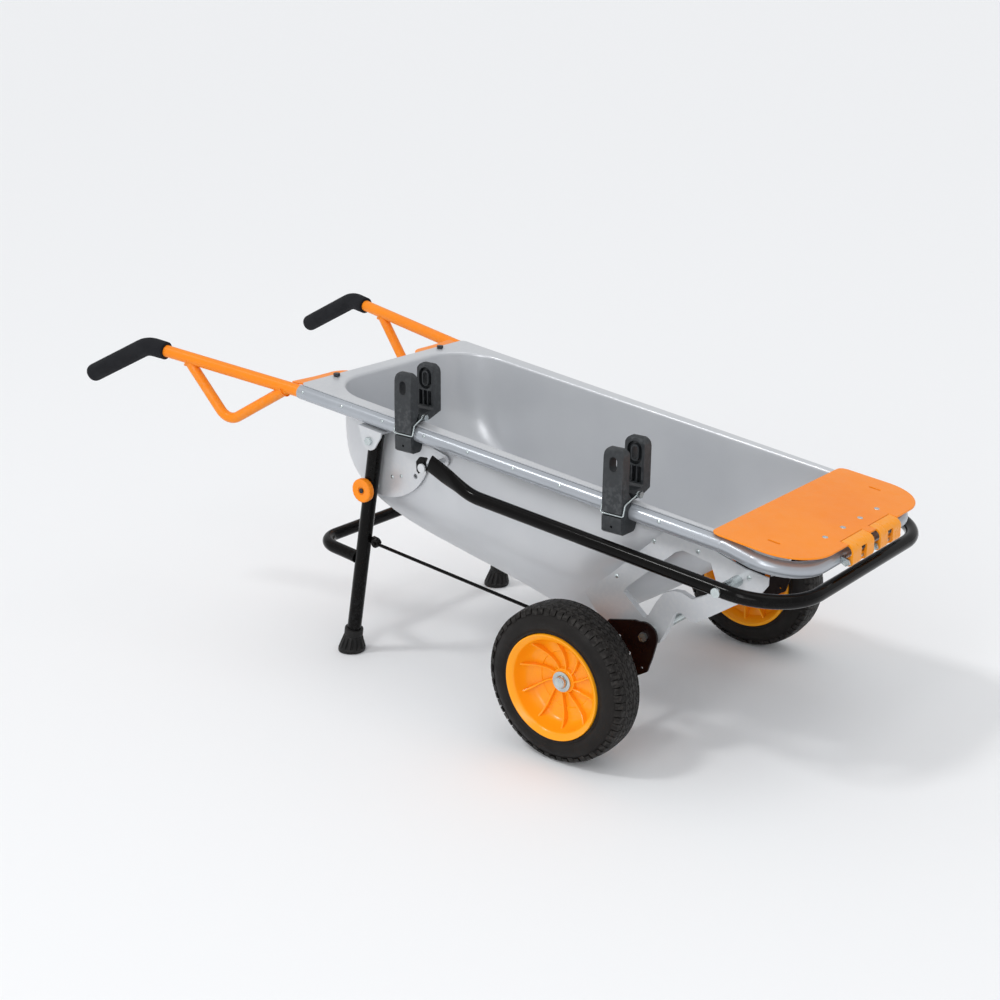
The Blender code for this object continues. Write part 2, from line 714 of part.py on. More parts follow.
def make_legs():
    """Two leg tubes, a kick bar between them, rubber feet, lock knobs and link rods."""
    x0 = at(LEG_PIVOT_S)
    z0 = LEG_PIVOT_Z
    origin = (x0, 0.0, z0)
    sole = LEG_PIVOT_Z / math.cos(LEG_TILT)
    rod_x, rod_z = leg_point(ROD_LEG_RADIUS, ROD_LEG_OFFSET)
    for name, side in SIDES:
        y = side * LEG_Y
        top = leg_point(-LEG_HEAD)
        foot_top = leg_point(sole - FOOT_SOLE)
        tube = sweep([(top[0], y, top[1]), (foot_top[0], y, foot_top[1])], LEG_R, 16)
        leg = add_object(f"{name}_leg", tube, "black_paint", origin)
        near = leg_point(ROD_LEG_RADIUS, LEG_R - 0.003)
        way = Vector((rod_x - near[0], rod_z - near[1])).normalized()
        half = 0.006
        across = (-way.y * half, way.x * half)
        lug_outline = [(near[0] - across[0], near[1] - across[1])]
        start = math.degrees(math.atan2(-across[1], -across[0]))
        lug_outline += arc(rod_x, rod_z, half, start, start + 180.0, 6)
        lug_outline += [(near[0] + across[0], near[1] + across[1])]
        lug = plate(lug_outline, *low_high(side, ROD_Y - ROD_R - 0.0075, ROD_Y - ROD_R - 0.0005))
        pin = rod_y(rod_x, rod_z, *low_high(side, ROD_Y - ROD_R - 0.001, ROD_Y + ROD_R + 0.003), 0.003, 10)
        combine(leg, "UNION", lug, pin)
        lock_x, lock_z = leg_point(LOCK_RADIUS)
        wide = low_high(side, LEG_Y - LEG_R - CUT, LEG_Y + LEG_R + CUT)
        holes = [rod_y(x0, z0, *wide, PIVOT_R + GAP), rod_y(lock_x, lock_z, *wide, LOCK_PIN_R + GAP)]
        combine(leg, "DIFFERENCE", *holes)
        make_foot(name, side, sole, origin)
        y_knob = LEG_Y + LEG_R + 0.001
        knob = add_object(f"{name}_lock_knob",
                          rod_y(lock_x, lock_z, *low_high(side, y_knob, y_knob + KNOB_THICK), KNOB_R, 24),
                          "orange_plastic", (lock_x, 0.0, lock_z))
        pin_end = SECTOR_Y + SECTOR_THICK + GAP
        stem = rod_y(lock_x, lock_z, *low_high(side, pin_end, y_knob + 0.002), LOCK_PIN_R)
        combine(knob, "UNION", stem)
        make_link_rod(name, side, rod_x, rod_z)
    kick_along = (LEG_PIVOT_Z - KICK_LEG_Z) / math.cos(LEG_TILT)
    start_x, start_z = leg_point(kick_along, -LEG_R - 0.0006)
    lead_x, lead_z = leg_point(kick_along, -LEG_R - 0.010)
    line = []
    radii = []
    for side in (-1.0, 1.0):
        group = [(start_x, side * LEG_Y, start_z), (lead_x, side * LEG_Y, lead_z),
                 (at(KICK_S), side * (LEG_Y - 0.004), KICK_Z)]
        sizes = [0.0, 0.0, KICK_BEND_R]
        if side > 0.0:
            group.reverse()
            sizes.reverse()
        line.extend(group)
        radii.extend(sizes)
    add_object("kick_bar", sweep(rounded(line, radii, 6), KICK_R, 14), "black_paint", origin)


def make_foot(name, side, sole, origin):
    """A flared rubber foot: its collar follows the leg and its sole is flat on the ground."""
    bm = bmesh.new()
    y = side * LEG_Y
    count = 20

    def ring(along, radius, tilt):
        x, z = leg_point(along)
        made = []
        for k in range(count):
            a = 2.0 * math.pi * k / count
            dx = radius * math.cos(a)
            point = (x + dx * math.cos(tilt), y + radius * math.sin(a), z - dx * math.sin(tilt))
            made.append(bm.verts.new(point))
        return made

    profile = ((FOOT_HEIGHT, FOOT_COLLAR_R, 1.0), (0.032, FOOT_COLLAR_R, 1.0),
               (0.028, FOOT_COLLAR_R - 0.0008, 0.8), (0.016, FOOT_R * 0.86, 0.3), (0.006, FOOT_R, 0.0),
               (0.002, FOOT_R, 0.0), (0.0, FOOT_R * 0.93, 0.0))
    outer = [ring(sole - height, radius, LEG_TILT * share) for height, radius, share in profile]
    bore = [ring(sole - FOOT_HEIGHT, LEG_R + GAP, LEG_TILT),
            ring(sole - FOOT_SOLE + GAP, LEG_R + GAP, LEG_TILT)]
    for rings in (outer, bore):
        for first, second in zip(rings, rings[1:]):
            bridge(bm, first, second)
        bm.faces.new(rings[-1])
    bridge(bm, outer[0], bore[0])
    add_object(f"{name}_foot", bm, "rubber", origin)


def make_link_rod(name, side, rod_x, rod_z):
    """A thin rod from the leg's lug to the axle carrier, with an eye at each end."""
    y = side * ROD_Y
    front_x = at(ROD_FRONT_S)
    way = Vector((front_x - rod_x, 0.0, ROD_FRONT_Z - rod_z)).normalized()
    rear = Vector((rod_x, y, rod_z)) + way * (ROD_EYE_R - 0.002)
    front = Vector((front_x, y, ROD_FRONT_Z)) - way * (ROD_EYE_R - 0.002)
    rod = add_object(f"{name}_link_rod", sweep([rear, front], ROD_R, 10), "black_paint", (rod_x, 0.0, rod_z))
    span = low_high(side, ROD_Y - ROD_R * 0.9, ROD_Y + ROD_R * 0.9)
    rear_eye = rod_y(rod_x, rod_z, *span, ROD_EYE_R, 14)
    front_eye = rod_y(front_x, ROD_FRONT_Z, *span, ROD_EYE_R, 14)
    combine(rod, "UNION", rear_eye, front_eye)
    wide = low_high(side, ROD_Y - CUT, ROD_Y + CUT)
    combine(rod, "DIFFERENCE", rod_y(rod_x, rod_z, *wide, 0.003 + GAP, 10))


# ---------------------------------------------------------------- side plates, axle and wheels

def make_side_plates():
    """Pressed plates under the front of the rails, with one large window each."""
    def upper(ahead, above):
        """A point placed from the arm bolt."""
        return at(ARM_BOLT_S + ahead), ARM_BOLT_Z + above

    def lower(ahead, above):
        """A point placed from the carrier pivot."""
        return at(CARRIER_PIVOT_S + ahead), CARRIER_PIVOT_Z + above

    def under(ahead, clear):
        """A point just below the rail."""
        s = ARM_BOLT_S + ahead
        return at(s), rail_z(s) - RAIL_R - clear

    outline = [under(-0.129, 0.0010), upper(-0.2255, -0.0460), lower(-0.1302, 0.0355),
               lower(-0.1142, 0.0145), lower(-0.0922, -0.0057), lower(-0.0262, -0.0185),
               lower(-0.0042, -0.0225), lower(0.0123, -0.0155), lower(0.0288, 0.0160),
               lower(0.0348, 0.0355), lower(0.0418, 0.0435), lower(0.0498, 0.0440), lower(0.0658, 0.0352),
               lower(0.0758, 0.0355), lower(0.1038, 0.0545), upper(-0.0030, -0.0405),
               upper(0.0385, -0.0121), upper(0.0495, 0.0035), upper(0.0495, 0.0160), under(0.010, 0.0115),
               under(-0.040, 0.0020)]
    window = [upper(-0.1084, 0.0188), upper(-0.0963, 0.0239), upper(-0.0470, 0.0157),
              upper(-0.0370, -0.0095), upper(-0.0514, -0.0366), upper(-0.0763, -0.0499),
              lower(0.0485, 0.0775), lower(0.0336, 0.0765), lower(0.0162, 0.0680), lower(0.0043, 0.0511),
              lower(-0.0117, 0.0205), lower(-0.0187, 0.0200), lower(-0.0566, 0.0516),
              lower(-0.0529, 0.0595)]
    for name, side in SIDES:
        span = low_high(side, PLATE_Y, PLATE_Y + PLATE_THICK)
        piece = add_object(f"{name}_side_plate", plate(outline, *span), "steel_grey")
        pivot = (at(CARRIER_PIVOT_S), CARRIER_PIVOT_Z)
        bolt = (at(ARM_BOLT_S), ARM_BOLT_Z)
        wide = low_high(side, PLATE_Y - CUT, PLATE_Y + PLATE_THICK + CUT)
        cuts = [plate(window, *wide), rod_y(*pivot, *wide, PIVOT_R + GAP),
                rod_y(*bolt, *wide, ARM_BOLT_R + GAP)]
        combine(piece, "DIFFERENCE", *cuts)


def make_axle_carrier():
    """Swinging plates that hold the axle, their pivot bolts, and the axle with its caps."""
    px, pz = at(CARRIER_PIVOT_S), CARRIER_PIVOT_Z
    ax, az = at(AXLE_S), WHEEL_R
    origin = (px, 0.0, pz)
    outline = [(px - 0.0700, pz + 0.0060), (px - 0.0660, pz + 0.0110), (px - 0.0182, pz + 0.0225)]
    outline += arc(px, pz, 0.0235, 110.0, -12.0, 7)
    outline += [(px + 0.0213, pz - 0.0125), (px + 0.0158, pz - 0.0335),
                (px + 0.0078, pz - 0.0572), (px - 0.0102, pz - 0.0685)]
    outline += arc(ax, az, 0.021, -70.0, -200.0, 8)
    outline += arc(at(ROD_FRONT_S), ROD_FRONT_Z, 0.012, 170.0, 90.0, 4)
    for name, side in SIDES:
        span = low_high(side, CARRIER_Y, CARRIER_Y + CARRIER_THICK)
        piece = add_object(f"{name}_carrier_plate", plate(outline, *span), "black_paint", origin)
        wide = low_high(side, CARRIER_Y - CUT, CARRIER_Y + CARRIER_THICK + CUT)
        window = [(px - 0.0662, pz - 0.0505), (px - 0.0262, pz - 0.0545),
                  (px - 0.0232, pz - 0.0305), (px - 0.0482, pz - 0.0205)]
        cuts = [rod_y(px, pz, *wide, PIVOT_R + GAP), rod_y(ax, az, *wide, AXLE_R + GAP, 20),
                rod_y(at(ROD_FRONT_S), ROD_FRONT_Z, *wide, 0.003), plate(window, *wide)]
        combine(piece, "DIFFERENCE", *cuts)
        inner_y = PLATE_Y - 0.0045
        outer_y = CARRIER_Y + CARRIER_THICK + GAP
        shank = rod_y(px, pz, *low_high(side, inner_y, outer_y + 0.001), PIVOT_R)
        bolt = add_object(f"{name}_carrier_bolt", shank, "zinc")
        bush = rod_y(px, pz, *low_high(side, PLATE_Y + PLATE_THICK + GAP, CARRIER_Y - GAP), 0.0085, 14)
        head = rod_y(px, pz, *low_high(side, outer_y, outer_y + 0.005), 0.0078, 6)
        nut = rod_y(px, pz, *low_high(side, inner_y, PLATE_Y - GAP), 0.0075, 6)
        combine(bolt, "UNION", bush, head, nut)
    add_object("axle", rod_y(ax, az, -AXLE_END_Y, AXLE_END_Y, AXLE_R, 20), "zinc", (ax, 0.0, az))
    for name, side in SIDES:
        hub_end = WHEEL_Y + HUB_HALF
        ends = [(ax, side * (hub_end + GAP), az), (ax, side * (hub_end + 0.0028), az)]
        washer = pipe(ends, WASHER_R, AXLE_R + GAP, 20)
        add_object(f"{name}_axle_washer", washer, "zinc", (ax, 0.0, az))


def revolve(profile, x, y, z, count=40):
    """Turn a closed profile of (radius, offset along Y) about the wheel's axis."""
    bm = bmesh.new()
    rings = []
    for radius, along in profile:
        ring = []
        for k in range(count):
            a = 2.0 * math.pi * k / count
            ring.append(bm.verts.new((x + radius * math.cos(a), y + along, z + radius * math.sin(a))))
        rings.append(ring)
    for i, ring in enumerate(rings):
        bridge(bm, ring, rings[(i + 1) % len(rings)])
    return bm


def make_wheels():
    """Solid tyres on moulded plastic rims with ribs on the outer face."""
    ax, az = at(AXLE_S), WHEEL_R
    for name, side in SIDES:
        y = side * WHEEL_Y
        tyre_seat = BEAD_SEAT_R + GAP
        lip = BEAD_HALF - GAP
        tyre = [(WHEEL_R, 0.0), (WHEEL_R - 0.001, -TREAD_HALF * 0.6), (WHEEL_R - 0.005, -TREAD_HALF),
                (WHEEL_R - 0.015, -TYRE_HALF + 0.001), (WHEEL_R - 0.027, -TYRE_HALF),
                (RIM_R + GAP, -TYRE_HALF + 0.003), (RIM_R + GAP, -lip), (tyre_seat, -lip + 0.0007),
                (tyre_seat, lip - 0.0007), (RIM_R + GAP, lip), (RIM_R + GAP, TYRE_HALF - 0.003),
                (WHEEL_R - 0.027, TYRE_HALF), (WHEEL_R - 0.015, TYRE_HALF - 0.001),
                (WHEEL_R - 0.005, TREAD_HALF), (WHEEL_R - 0.001, TREAD_HALF * 0.6)]
        add_object(f"{name}_tyre", revolve(tyre, ax, y, az), "rubber", (ax, 0.0, az))
        bore = AXLE_R + GAP
        hub_inner = -WHEEL_Y + CARRIER_Y + CARRIER_THICK + 0.004
        half = [(bore, HUB_HALF), (HUB_R * 0.8, HUB_HALF), (HUB_R, HUB_HALF - 0.004), (HUB_R + 0.002, -0.007),
                (RIM_R - 0.026, -0.004), (RIM_R - 0.016, 0.004), (RIM_R - 0.0105, 0.018),
                (RIM_R - 0.0085, RIM_HALF - 0.002), (RIM_R - 0.006, RIM_HALF), (RIM_R - 0.0015, RIM_HALF),
                (RIM_R, RIM_HALF - 0.002), (RIM_R, BEAD_HALF), (BEAD_SEAT_R, BEAD_HALF - 0.0007),
                (BEAD_SEAT_R, -BEAD_HALF + 0.0007), (RIM_R, -BEAD_HALF), (RIM_R, -RIM_HALF + 0.002),
                (RIM_R - 0.0015, -RIM_HALF), (RIM_R - 0.006, -RIM_HALF), (RIM_R - 0.0115, -0.024),
                (RIM_R - 0.016, -0.014), (RIM_R - 0.026, -0.010), (HUB_R, -0.013),
                (HUB_R * 0.85, hub_inner), (bore, hub_inner)]
        rim = [(radius, side * along) for radius, along in half]
        add_object(f"{name}_rim", revolve(rim, ax, y, az), "orange_plastic", (ax, 0.0, az))


# ---------------------------------------------------------------- extension arm

def arm_z(s):
    return ARM_BOLT_Z - ARM_FALL * (s - ARM_BOLT_S)


def make_extension_arm():
    """A U of tube round the front, hung on a bolt each side, with hook plates at its rear ends."""
    bx, bz = at(ARM_BOLT_S), ARM_BOLT_Z
    origin = (bx, 0.0, bz)
    line = []
    radii = []
    for side in (-1.0, 1.0):
        group = [(at(ARM_REAR_S), side * ARM_Y, ARM_REAR_Z),
                 (at(ARM_KNEE_S), side * ARM_Y, arm_z(ARM_KNEE_S)),
                 (at(ARM_FRONT_S), side * ARM_Y, arm_z(ARM_FRONT_S))]
        sizes = [0.0, 0.10, ARM_BEND_R]
        if side > 0.0:
            group.reverse()
            sizes.reverse()
        line.extend(group)
        radii.extend(sizes)
    arm = add_object("extension_arm", sweep(rounded(line, radii, 8), ARM_R, 14), "black_paint", origin)
    holes = []
    for _, side in SIDES:
        wide = low_high(side, ARM_Y - ARM_R - CUT, ARM_Y + ARM_R + CUT)
        holes.append(rod_y(bx, bz, *wide, ARM_BOLT_R + GAP))
    combine(arm, "DIFFERENCE", *holes)
    stud_x = at(STUD_S)
    slot = STUD_R + 0.001
    outline = [(stud_x + slot, STUD_Z - 0.010)]
    outline += arc(stud_x, STUD_Z + 0.001, slot, 0.0, 180.0, 8)
    outline += [(stud_x - slot, STUD_Z - 0.009), (stud_x - slot - 0.004, STUD_Z - 0.012),
                (stud_x - slot - 0.008, STUD_Z - 0.008), (stud_x - slot - 0.009, STUD_Z + 0.008),
                (stud_x - slot - 0.002, STUD_Z + 0.0165), (stud_x + 0.006, STUD_Z + 0.018),
                (at(ARM_REAR_S) - 0.0055, ARM_REAR_Z + 0.006), (at(ARM_REAR_S) - 0.0125, ARM_REAR_Z - 0.009)]
    for name, side in SIDES:
        span = low_high(side, ARM_Y - HOOK_THICK / 2.0, ARM_Y + HOOK_THICK / 2.0)
        add_object(f"{name}_hook_plate", plate(outline, *span), "black_paint", origin)
        inner_y = PLATE_Y - 0.0045
        outer_y = ARM_Y + ARM_R + GAP
        shank = rod_y(bx, bz, *low_high(side, inner_y, outer_y + 0.001), ARM_BOLT_R)
        bolt = add_object(f"{name}_arm_bolt", shank, "zinc")
        spacer = rod_y(bx, bz, *low_high(side, PLATE_Y + PLATE_THICK + GAP, ARM_Y - ARM_R - GAP), 0.0085, 14)
        head = rod_y(bx, bz, *low_high(side, outer_y, outer_y + 0.004), 0.0075, 16)
        nut = rod_y(bx, bz, *low_high(side, inner_y, PLATE_Y - GAP), 0.0075, 6)
        combine(bolt, "UNION", spacer, head, nut)


# ---------------------------------------------------------------- toe plate

def make_toe_plate():
    """A flat plate on the front of the rim that hinges forward on two knuckles."""
    pin_x = at(HINGE_PIN_S)
    pin_z = rim_z(HINGE_PIN_S) - HINGE_PIN_DROP
    origin = (pin_x, 0.0, pin_z)
    lift = 0.0005
    corner_s = TOE_FRONT_S - TOE_CORNER
    outline = [(TOE_REAR_S, -TOE_HALF + TOE_CHAMFER), (TOE_REAR_S + TOE_CHAMFER, -TOE_HALF)]
    outline += arc(corner_s, -TOE_HALF + TOE_CORNER, TOE_CORNER, -90.0, 0.0, 7)
    for y in (-HINGE_Y, HINGE_Y):
        notch_s = TOE_FRONT_S - 0.014
        for edge_s, offset in ((TOE_FRONT_S, -1.0), (notch_s, -1.0), (notch_s, 1.0), (TOE_FRONT_S, 1.0)):
            outline.append((edge_s, y + offset * (HINGE_HALF + 0.001)))
    outline += arc(corner_s, TOE_HALF - TOE_CORNER, TOE_CORNER, 0.0, 90.0, 7)
    outline += [(TOE_REAR_S + TOE_CHAMFER, TOE_HALF), (TOE_REAR_S, TOE_HALF - TOE_CHAMFER)]
    bm = bmesh.new()
    lower = [bm.verts.new((at(s), y, rim_z(s) + lift)) for s, y in outline]
    upper = [bm.verts.new((at(s), y, rim_z(s) + lift + TOE_THICK)) for s, y in outline]
    bridge(bm, lower, upper)
    bm.faces.new(lower)
    bm.faces.new(upper)
    toe = add_object("toe_plate", bm, "orange_paint", origin)
    slots = []
    for _, side in SIDES:
        ends = []
        for s in (TOE_REAR_S + 0.075, TOE_REAR_S + 0.091):
            ends.append((at(s), side * (TOE_HALF - 0.043), rim_z(s)))
        slot = bmesh.new()
        low = []
        for (x, y, z), way in ((ends[0], -1.0), (ends[1], 1.0)):
            for dx, dy in ((0.0, -0.002 * way), (0.0015 * way, 0.0), (0.0, 0.002 * way)):
                low.append(slot.verts.new((x + dx, y + dy, z - 0.01)))
        high = [slot.verts.new((v.co.x, v.co.y, v.co.z + 0.03)) for v in low]
        bridge(slot, low, high)
        slot.faces.new(low)
        slot.faces.new(high)
        slots.append(slot)
    combine(toe, "DIFFERENCE", *slots)
    make_toe_hinges(pin_x, pin_z, origin)


def make_toe_hinges(pin_x, pin_z, origin):
    """Strips riveted under the toe plate that curl round a hinge pin each, and the pins."""
    outer = HINGE_PIN_R + GAP + HINGE_WALL
    bore = HINGE_PIN_R + GAP
    strap_s = TOE_FRONT_S - 0.0125
    top = rim_z(strap_s) + 0.0005 + TOE_THICK
    x0 = at(strap_s)
    outline = [(x0, top), (pin_x - 0.002, top - 0.0006), (pin_x + 0.006, top - 0.007)]
    outline += arc(pin_x, pin_z, outer, 20.0, -180.0, 10)
    outline += [(pin_x - outer, pin_z + 0.004), (pin_x + 0.001, top - 0.0065),
                (at(RIM_LENGTH + 0.001), top - TOE_THICK), (x0, top - TOE_THICK)]
    for name, side in SIDES:
        span = low_high(side, HINGE_Y - HINGE_HALF, HINGE_Y + HINGE_HALF)
        hinge = add_object(f"{name}_toe_hinge", plate(outline, *span), "orange_plastic", origin)
        wide = low_high(side, HINGE_Y - HINGE_HALF - CUT, HINGE_Y + HINGE_HALF + CUT)
        combine(hinge, "DIFFERENCE", rod_y(pin_x, pin_z, *wide, bore, 14))
        ends = low_high(side, HINGE_Y - HINGE_HALF - 0.006, HINGE_Y + HINGE_HALF + 0.006)
        pin = add_object(f"{name}_toe_pin", rod_y(pin_x, pin_z, *ends, HINGE_PIN_R, 12), "zinc")
        lugs = []
        rail_x = at(FRONT_RAIL_S) + RAIL_R + GAP
        for y_lug in (HINGE_Y - HINGE_HALF - 0.0055, HINGE_Y + HINGE_HALF + 0.0015):
            lug = [(rail_x, FRONT_RAIL_Z - 0.004), (pin_x - 0.002, pin_z - 0.006),
                   (pin_x + 0.005, pin_z - 0.002), (pin_x + 0.003, pin_z + 0.005),
                   (rail_x, FRONT_RAIL_Z + 0.006)]
            lugs.append(plate(lug, *low_high(side, y_lug, y_lug + 0.004)))
        combine(pin, "UNION", *lugs)


# ---------------------------------------------------------------- tool clips

def make_clip(name, s):
    """One clip: a jaw that wraps the rail from outside, a jaw on the flange, a bolt and a wire bail."""
    x = at(s)
    rail_y = rim_half(s)
    rz = rail_z(s)
    rim = rim_z(s)
    low_x, high_x = x - CLIP_HALF, x + CLIP_HALF
    top = rim + CLIP_HEIGHT
    face = CLIP_FACE_Y
    jaw_in = face - CLIP_JAW_THICK
    outer_profile = [(face, rz - RAIL_R - CLIP_WRAP + 0.004), (face, top - 0.010), (face - 0.004, top - 0.002),
                     (face - 0.010, top), (face - 0.016, top - 0.004), (jaw_in, top - 0.012),
                     (jaw_in, rim + CLIP_FLOOR), (rail_y + 0.004, rim + 0.006), (rail_y + 0.004, rz),
                     (rail_y - RAIL_R + 0.003, rz - RAIL_R), (rail_y - RAIL_R + 0.001, rz - RAIL_R - 0.006),
                     (rail_y - RAIL_R + 0.004, rz - RAIL_R - CLIP_WRAP + 0.004),
                     (rail_y - RAIL_R + 0.008, rz - RAIL_R - CLIP_WRAP),
                     (face - 0.006, rz - RAIL_R - CLIP_WRAP)]
    block = slab(outer_profile, low_x, high_x)
    jaw = add_object(f"{name}_clip_outer_jaw", block, "dark_plastic", (x, -rail_y, rz))
    way = Vector((1.0, RIM_TAPER, -RIM_FALL)).normalized()
    centre = Vector((x, -rail_y, rz))
    rail_cut = sweep([centre - way * 0.05, centre + way * 0.05], RAIL_R + 0.0005, 24)
    eye = [(x, -face - CUT, top - 0.030), (x, CUT - jaw_in, top - 0.030)]
    groove_z = rz + BAIL_HOOK_Z
    groove_in = face - BAIL_GROOVE
    groove_profile = [(face + 0.001, groove_z - 0.0032), (groove_in, groove_z - 0.0032),
                      (groove_in, groove_z + 0.0028), (face + 0.001, groove_z + 0.0028)]
    groove = slab(groove_profile, low_x - CUT, high_x + CUT)
    combine(jaw, "DIFFERENCE", rail_cut, sweep(eye, 0.0068, 14), groove)

    inner_face = jaw_in - CLIP_SLOT
    back = inner_face - CLIP_INNER_THICK
    flange_y = min(rail_y, jaw_in) - 0.001
    floor = rim + CLIP_FLOOR
    base = rim + RIM_FALL * CLIP_HALF + 0.0008
    inner_profile = [(flange_y, base), (flange_y, floor - 0.004), (flange_y - 0.004, floor),
                     (inner_face, floor), (inner_face, top - 0.002), (inner_face - 0.004, top + 0.004),
                     (inner_face - 0.010, top + 0.006), (back + 0.003, top + 0.003), (back, top - 0.006),
                     (back, floor - 0.004), (mouth_half(s) - 0.003, base)]
    inner = add_object(f"{name}_clip_inner_jaw", slab(inner_profile, low_x, high_x), "dark_plastic")
    bolt_y = flange_y - 0.010
    bolt_z = rim + 0.0095
    bolt_hole = sweep([(low_x - CUT, -bolt_y, bolt_z), (high_x + CUT, -bolt_y, bolt_z)], 0.0025 + GAP, 10)
    eye = [(x, -inner_face - CUT, top - 0.024), (x, CUT - back, top - 0.024)]
    combine(inner, "DIFFERENCE", bolt_hole, sweep(eye, 0.0068, 14))

    head_x = high_x + BAIL_SIDE + BAIL_R + GAP
    nut_x = low_x - BAIL_SIDE - BAIL_R - GAP
    shank = sweep([(nut_x - 0.003, -bolt_y, bolt_z), (head_x + 0.001, -bolt_y, bolt_z)], 0.0025, 10)
    bolt = add_object(f"{name}_clip_bolt", shank, "zinc")
    head = sweep([(head_x, -bolt_y, bolt_z), (head_x + 0.004, -bolt_y, bolt_z)], 0.0058, 6)
    nut = sweep([(nut_x - 0.003, -bolt_y, bolt_z), (nut_x, -bolt_y, bolt_z)], 0.0055, 6)
    combine(bolt, "UNION", head, nut)
    make_bail(name, x, bolt_y, bolt_z, rz, low_x, high_x)


def slab(profile, low_x, high_x):
    """A block: an outline of (distance from the symmetry plane, z) on the right side, between two X."""
    bm = bmesh.new()
    first = [bm.verts.new((low_x, -y, z)) for y, z in profile]
    second = [bm.verts.new((high_x, -y, z)) for y, z in profile]
    bridge(bm, first, second)
    bm.faces.new(first)
    bm.faces.new(second)
    return bm


def make_bail(name, x, bolt_y, bolt_z, rz, low_x, high_x):
    """A wire from the bolt's ends round the outside of the outer jaw."""
    offset = BAIL_SIDE
    out_y = -(CLIP_FACE_Y - BAIL_R + 0.0004)
    hook_z = rz + BAIL_HOOK_Z
    eye_y = -bolt_y
    over = (out_y + 0.0050, rz + RAIL_R + 0.0030)
    line = [(low_x - offset, eye_y - 0.0045, bolt_z), (low_x - offset, *over),
            (low_x - offset, out_y, hook_z), (high_x + offset, out_y, hook_z),
            (high_x + offset, *over), (high_x + offset, eye_y - 0.0045, bolt_z)]
    wire = sweep(rounded(line, [0, 0.004, 0.003, 0.003, 0.004, 0], 3), BAIL_R, 8)
    bail = add_object(f"{name}_clip_bail", wire, "zinc", (x, -bolt_y, bolt_z))
    eyes = []
    for eye_x in (low_x - offset, high_x + offset):
        ends = [(eye_x - BAIL_R, eye_y, bolt_z), (eye_x + BAIL_R, eye_y, bolt_z)]
        eyes.append(pipe(ends, 0.0052, 0.0025 + GAP, 12))
    combine(bail, "UNION", *eyes)


def main():
    for old in list(bpy.data.objects):
        bpy.data.objects.remove(old, do_unlink=True)
    make_tub()
    make_rails()
    make_handles()
    make_leg_supports()
    make_legs()
    make_side_plates()
    make_axle_carrier()
    make_wheels()
    make_extension_arm()
    make_toe_plate()
    for name, s in zip(("rear", "front"), CLIP_S):
        make_clip(name, s)


main()
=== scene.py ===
from math import copysign, cos, hypot, pi, radians, sin, tan

import bmesh
import bpy
from mathutils import Matrix, Vector


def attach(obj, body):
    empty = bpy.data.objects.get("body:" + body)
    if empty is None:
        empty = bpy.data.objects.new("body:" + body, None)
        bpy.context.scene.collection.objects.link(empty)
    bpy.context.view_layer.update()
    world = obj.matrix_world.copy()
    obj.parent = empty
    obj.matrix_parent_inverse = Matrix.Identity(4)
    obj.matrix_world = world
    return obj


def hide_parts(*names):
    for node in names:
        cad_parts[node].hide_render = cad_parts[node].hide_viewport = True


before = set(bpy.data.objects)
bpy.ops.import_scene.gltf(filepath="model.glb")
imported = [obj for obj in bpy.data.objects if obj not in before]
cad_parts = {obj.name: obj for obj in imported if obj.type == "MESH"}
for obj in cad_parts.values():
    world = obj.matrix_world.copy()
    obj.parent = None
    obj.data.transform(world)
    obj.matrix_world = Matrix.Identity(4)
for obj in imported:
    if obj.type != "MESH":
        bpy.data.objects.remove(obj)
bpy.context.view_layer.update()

SIDES = (("right", -1.0), ("left", 1.0))
SHARP = radians(32.0)
TAU = 2.0 * pi
WELD = 1e-6  # vertices closer than this are merged
GAP = 0.0003

# sizes repeated from the CAD source, in metres
RIM_REAR_X = -0.2487
RIM_REAR_Z = 0.48
RIM_FALL = 0.1095
RIM_LENGTH = 0.978
RIM_HALF_REAR = 0.219
RIM_TAPER = 0.0303
FLANGE_REAR = 0.026
FLANGE_FRONT = 0.078
FLANGE_SIDE_REAR = 0.032
FLANGE_SIDE_TAPER = 0.022
SHEET = 0.002
FLOOR_LOW_S = 0.529
FLOOR_BLEND = 0.012
RAIL_R = 0.0125
RAIL_LENGTH = 0.842
FRONT_RAIL_S = 0.965
FRONT_RAIL_Z = 0.35
HANDLE_R = 0.011
HANDLE_RISE = 0.1159
HANDLE_SPREAD = 0.1517
TAB_THICK = 0.003
LOOP_REAR_S = -0.252
LOOP_LOW_S = -0.163
LOOP_FRONT_S = -0.026
LOOP_R = 0.0095
GRIP_R = 0.0168
LEG_PIVOT_S = 0.1676
LEG_PIVOT_Z = 0.4094
LEG_Y = 0.208
LEG_R = 0.0125
LEG_TILT = radians(9.8)
KICK_R = 0.011
KICK_Z = 0.18
KNOB_ALONG = 0.092  # leg pivot to the knob, along the leg
ROD_LEG_RADIUS = 0.19
ROD_LEG_OFFSET = 0.0245
AXLE_S = 0.6304
WHEEL_R = 0.127
WHEEL_Y = 0.2907
CARRIER_PIVOT_S = 0.7262
CARRIER_PIVOT_Z = 0.2025
ARM_Y = 0.2415
ARM_R = 0.011
ARM_BOLT_S = 0.87
ARM_BOLT_Z = 0.3235
ARM_FALL = 0.0916
FLAT_START_S = 0.385
FLAT_REACH = 0.035
CLIP_S = (0.247, 0.668)
CLIP_HALF = 0.018
CLIP_FACE_Y = 0.2295
CLIP_HEIGHT = 0.088
CLIP_JAW_THICK = 0.019
CLIP_SLOT = 0.038
CLIP_INNER_THICK = 0.019
CLIP_FLOOR = 0.016
CLIP_WRAP = 0.021
BAIL_R = 0.0013
BAIL_HOOK_Z = -0.002
BAIL_GROOVE = 0.0042
BAIL_SIDE = 0.0024
COIL_R = 0.0041
COIL_TURNS = 1.6
COIL_STEPS = 32


def at(s):
    return RIM_REAR_X + s


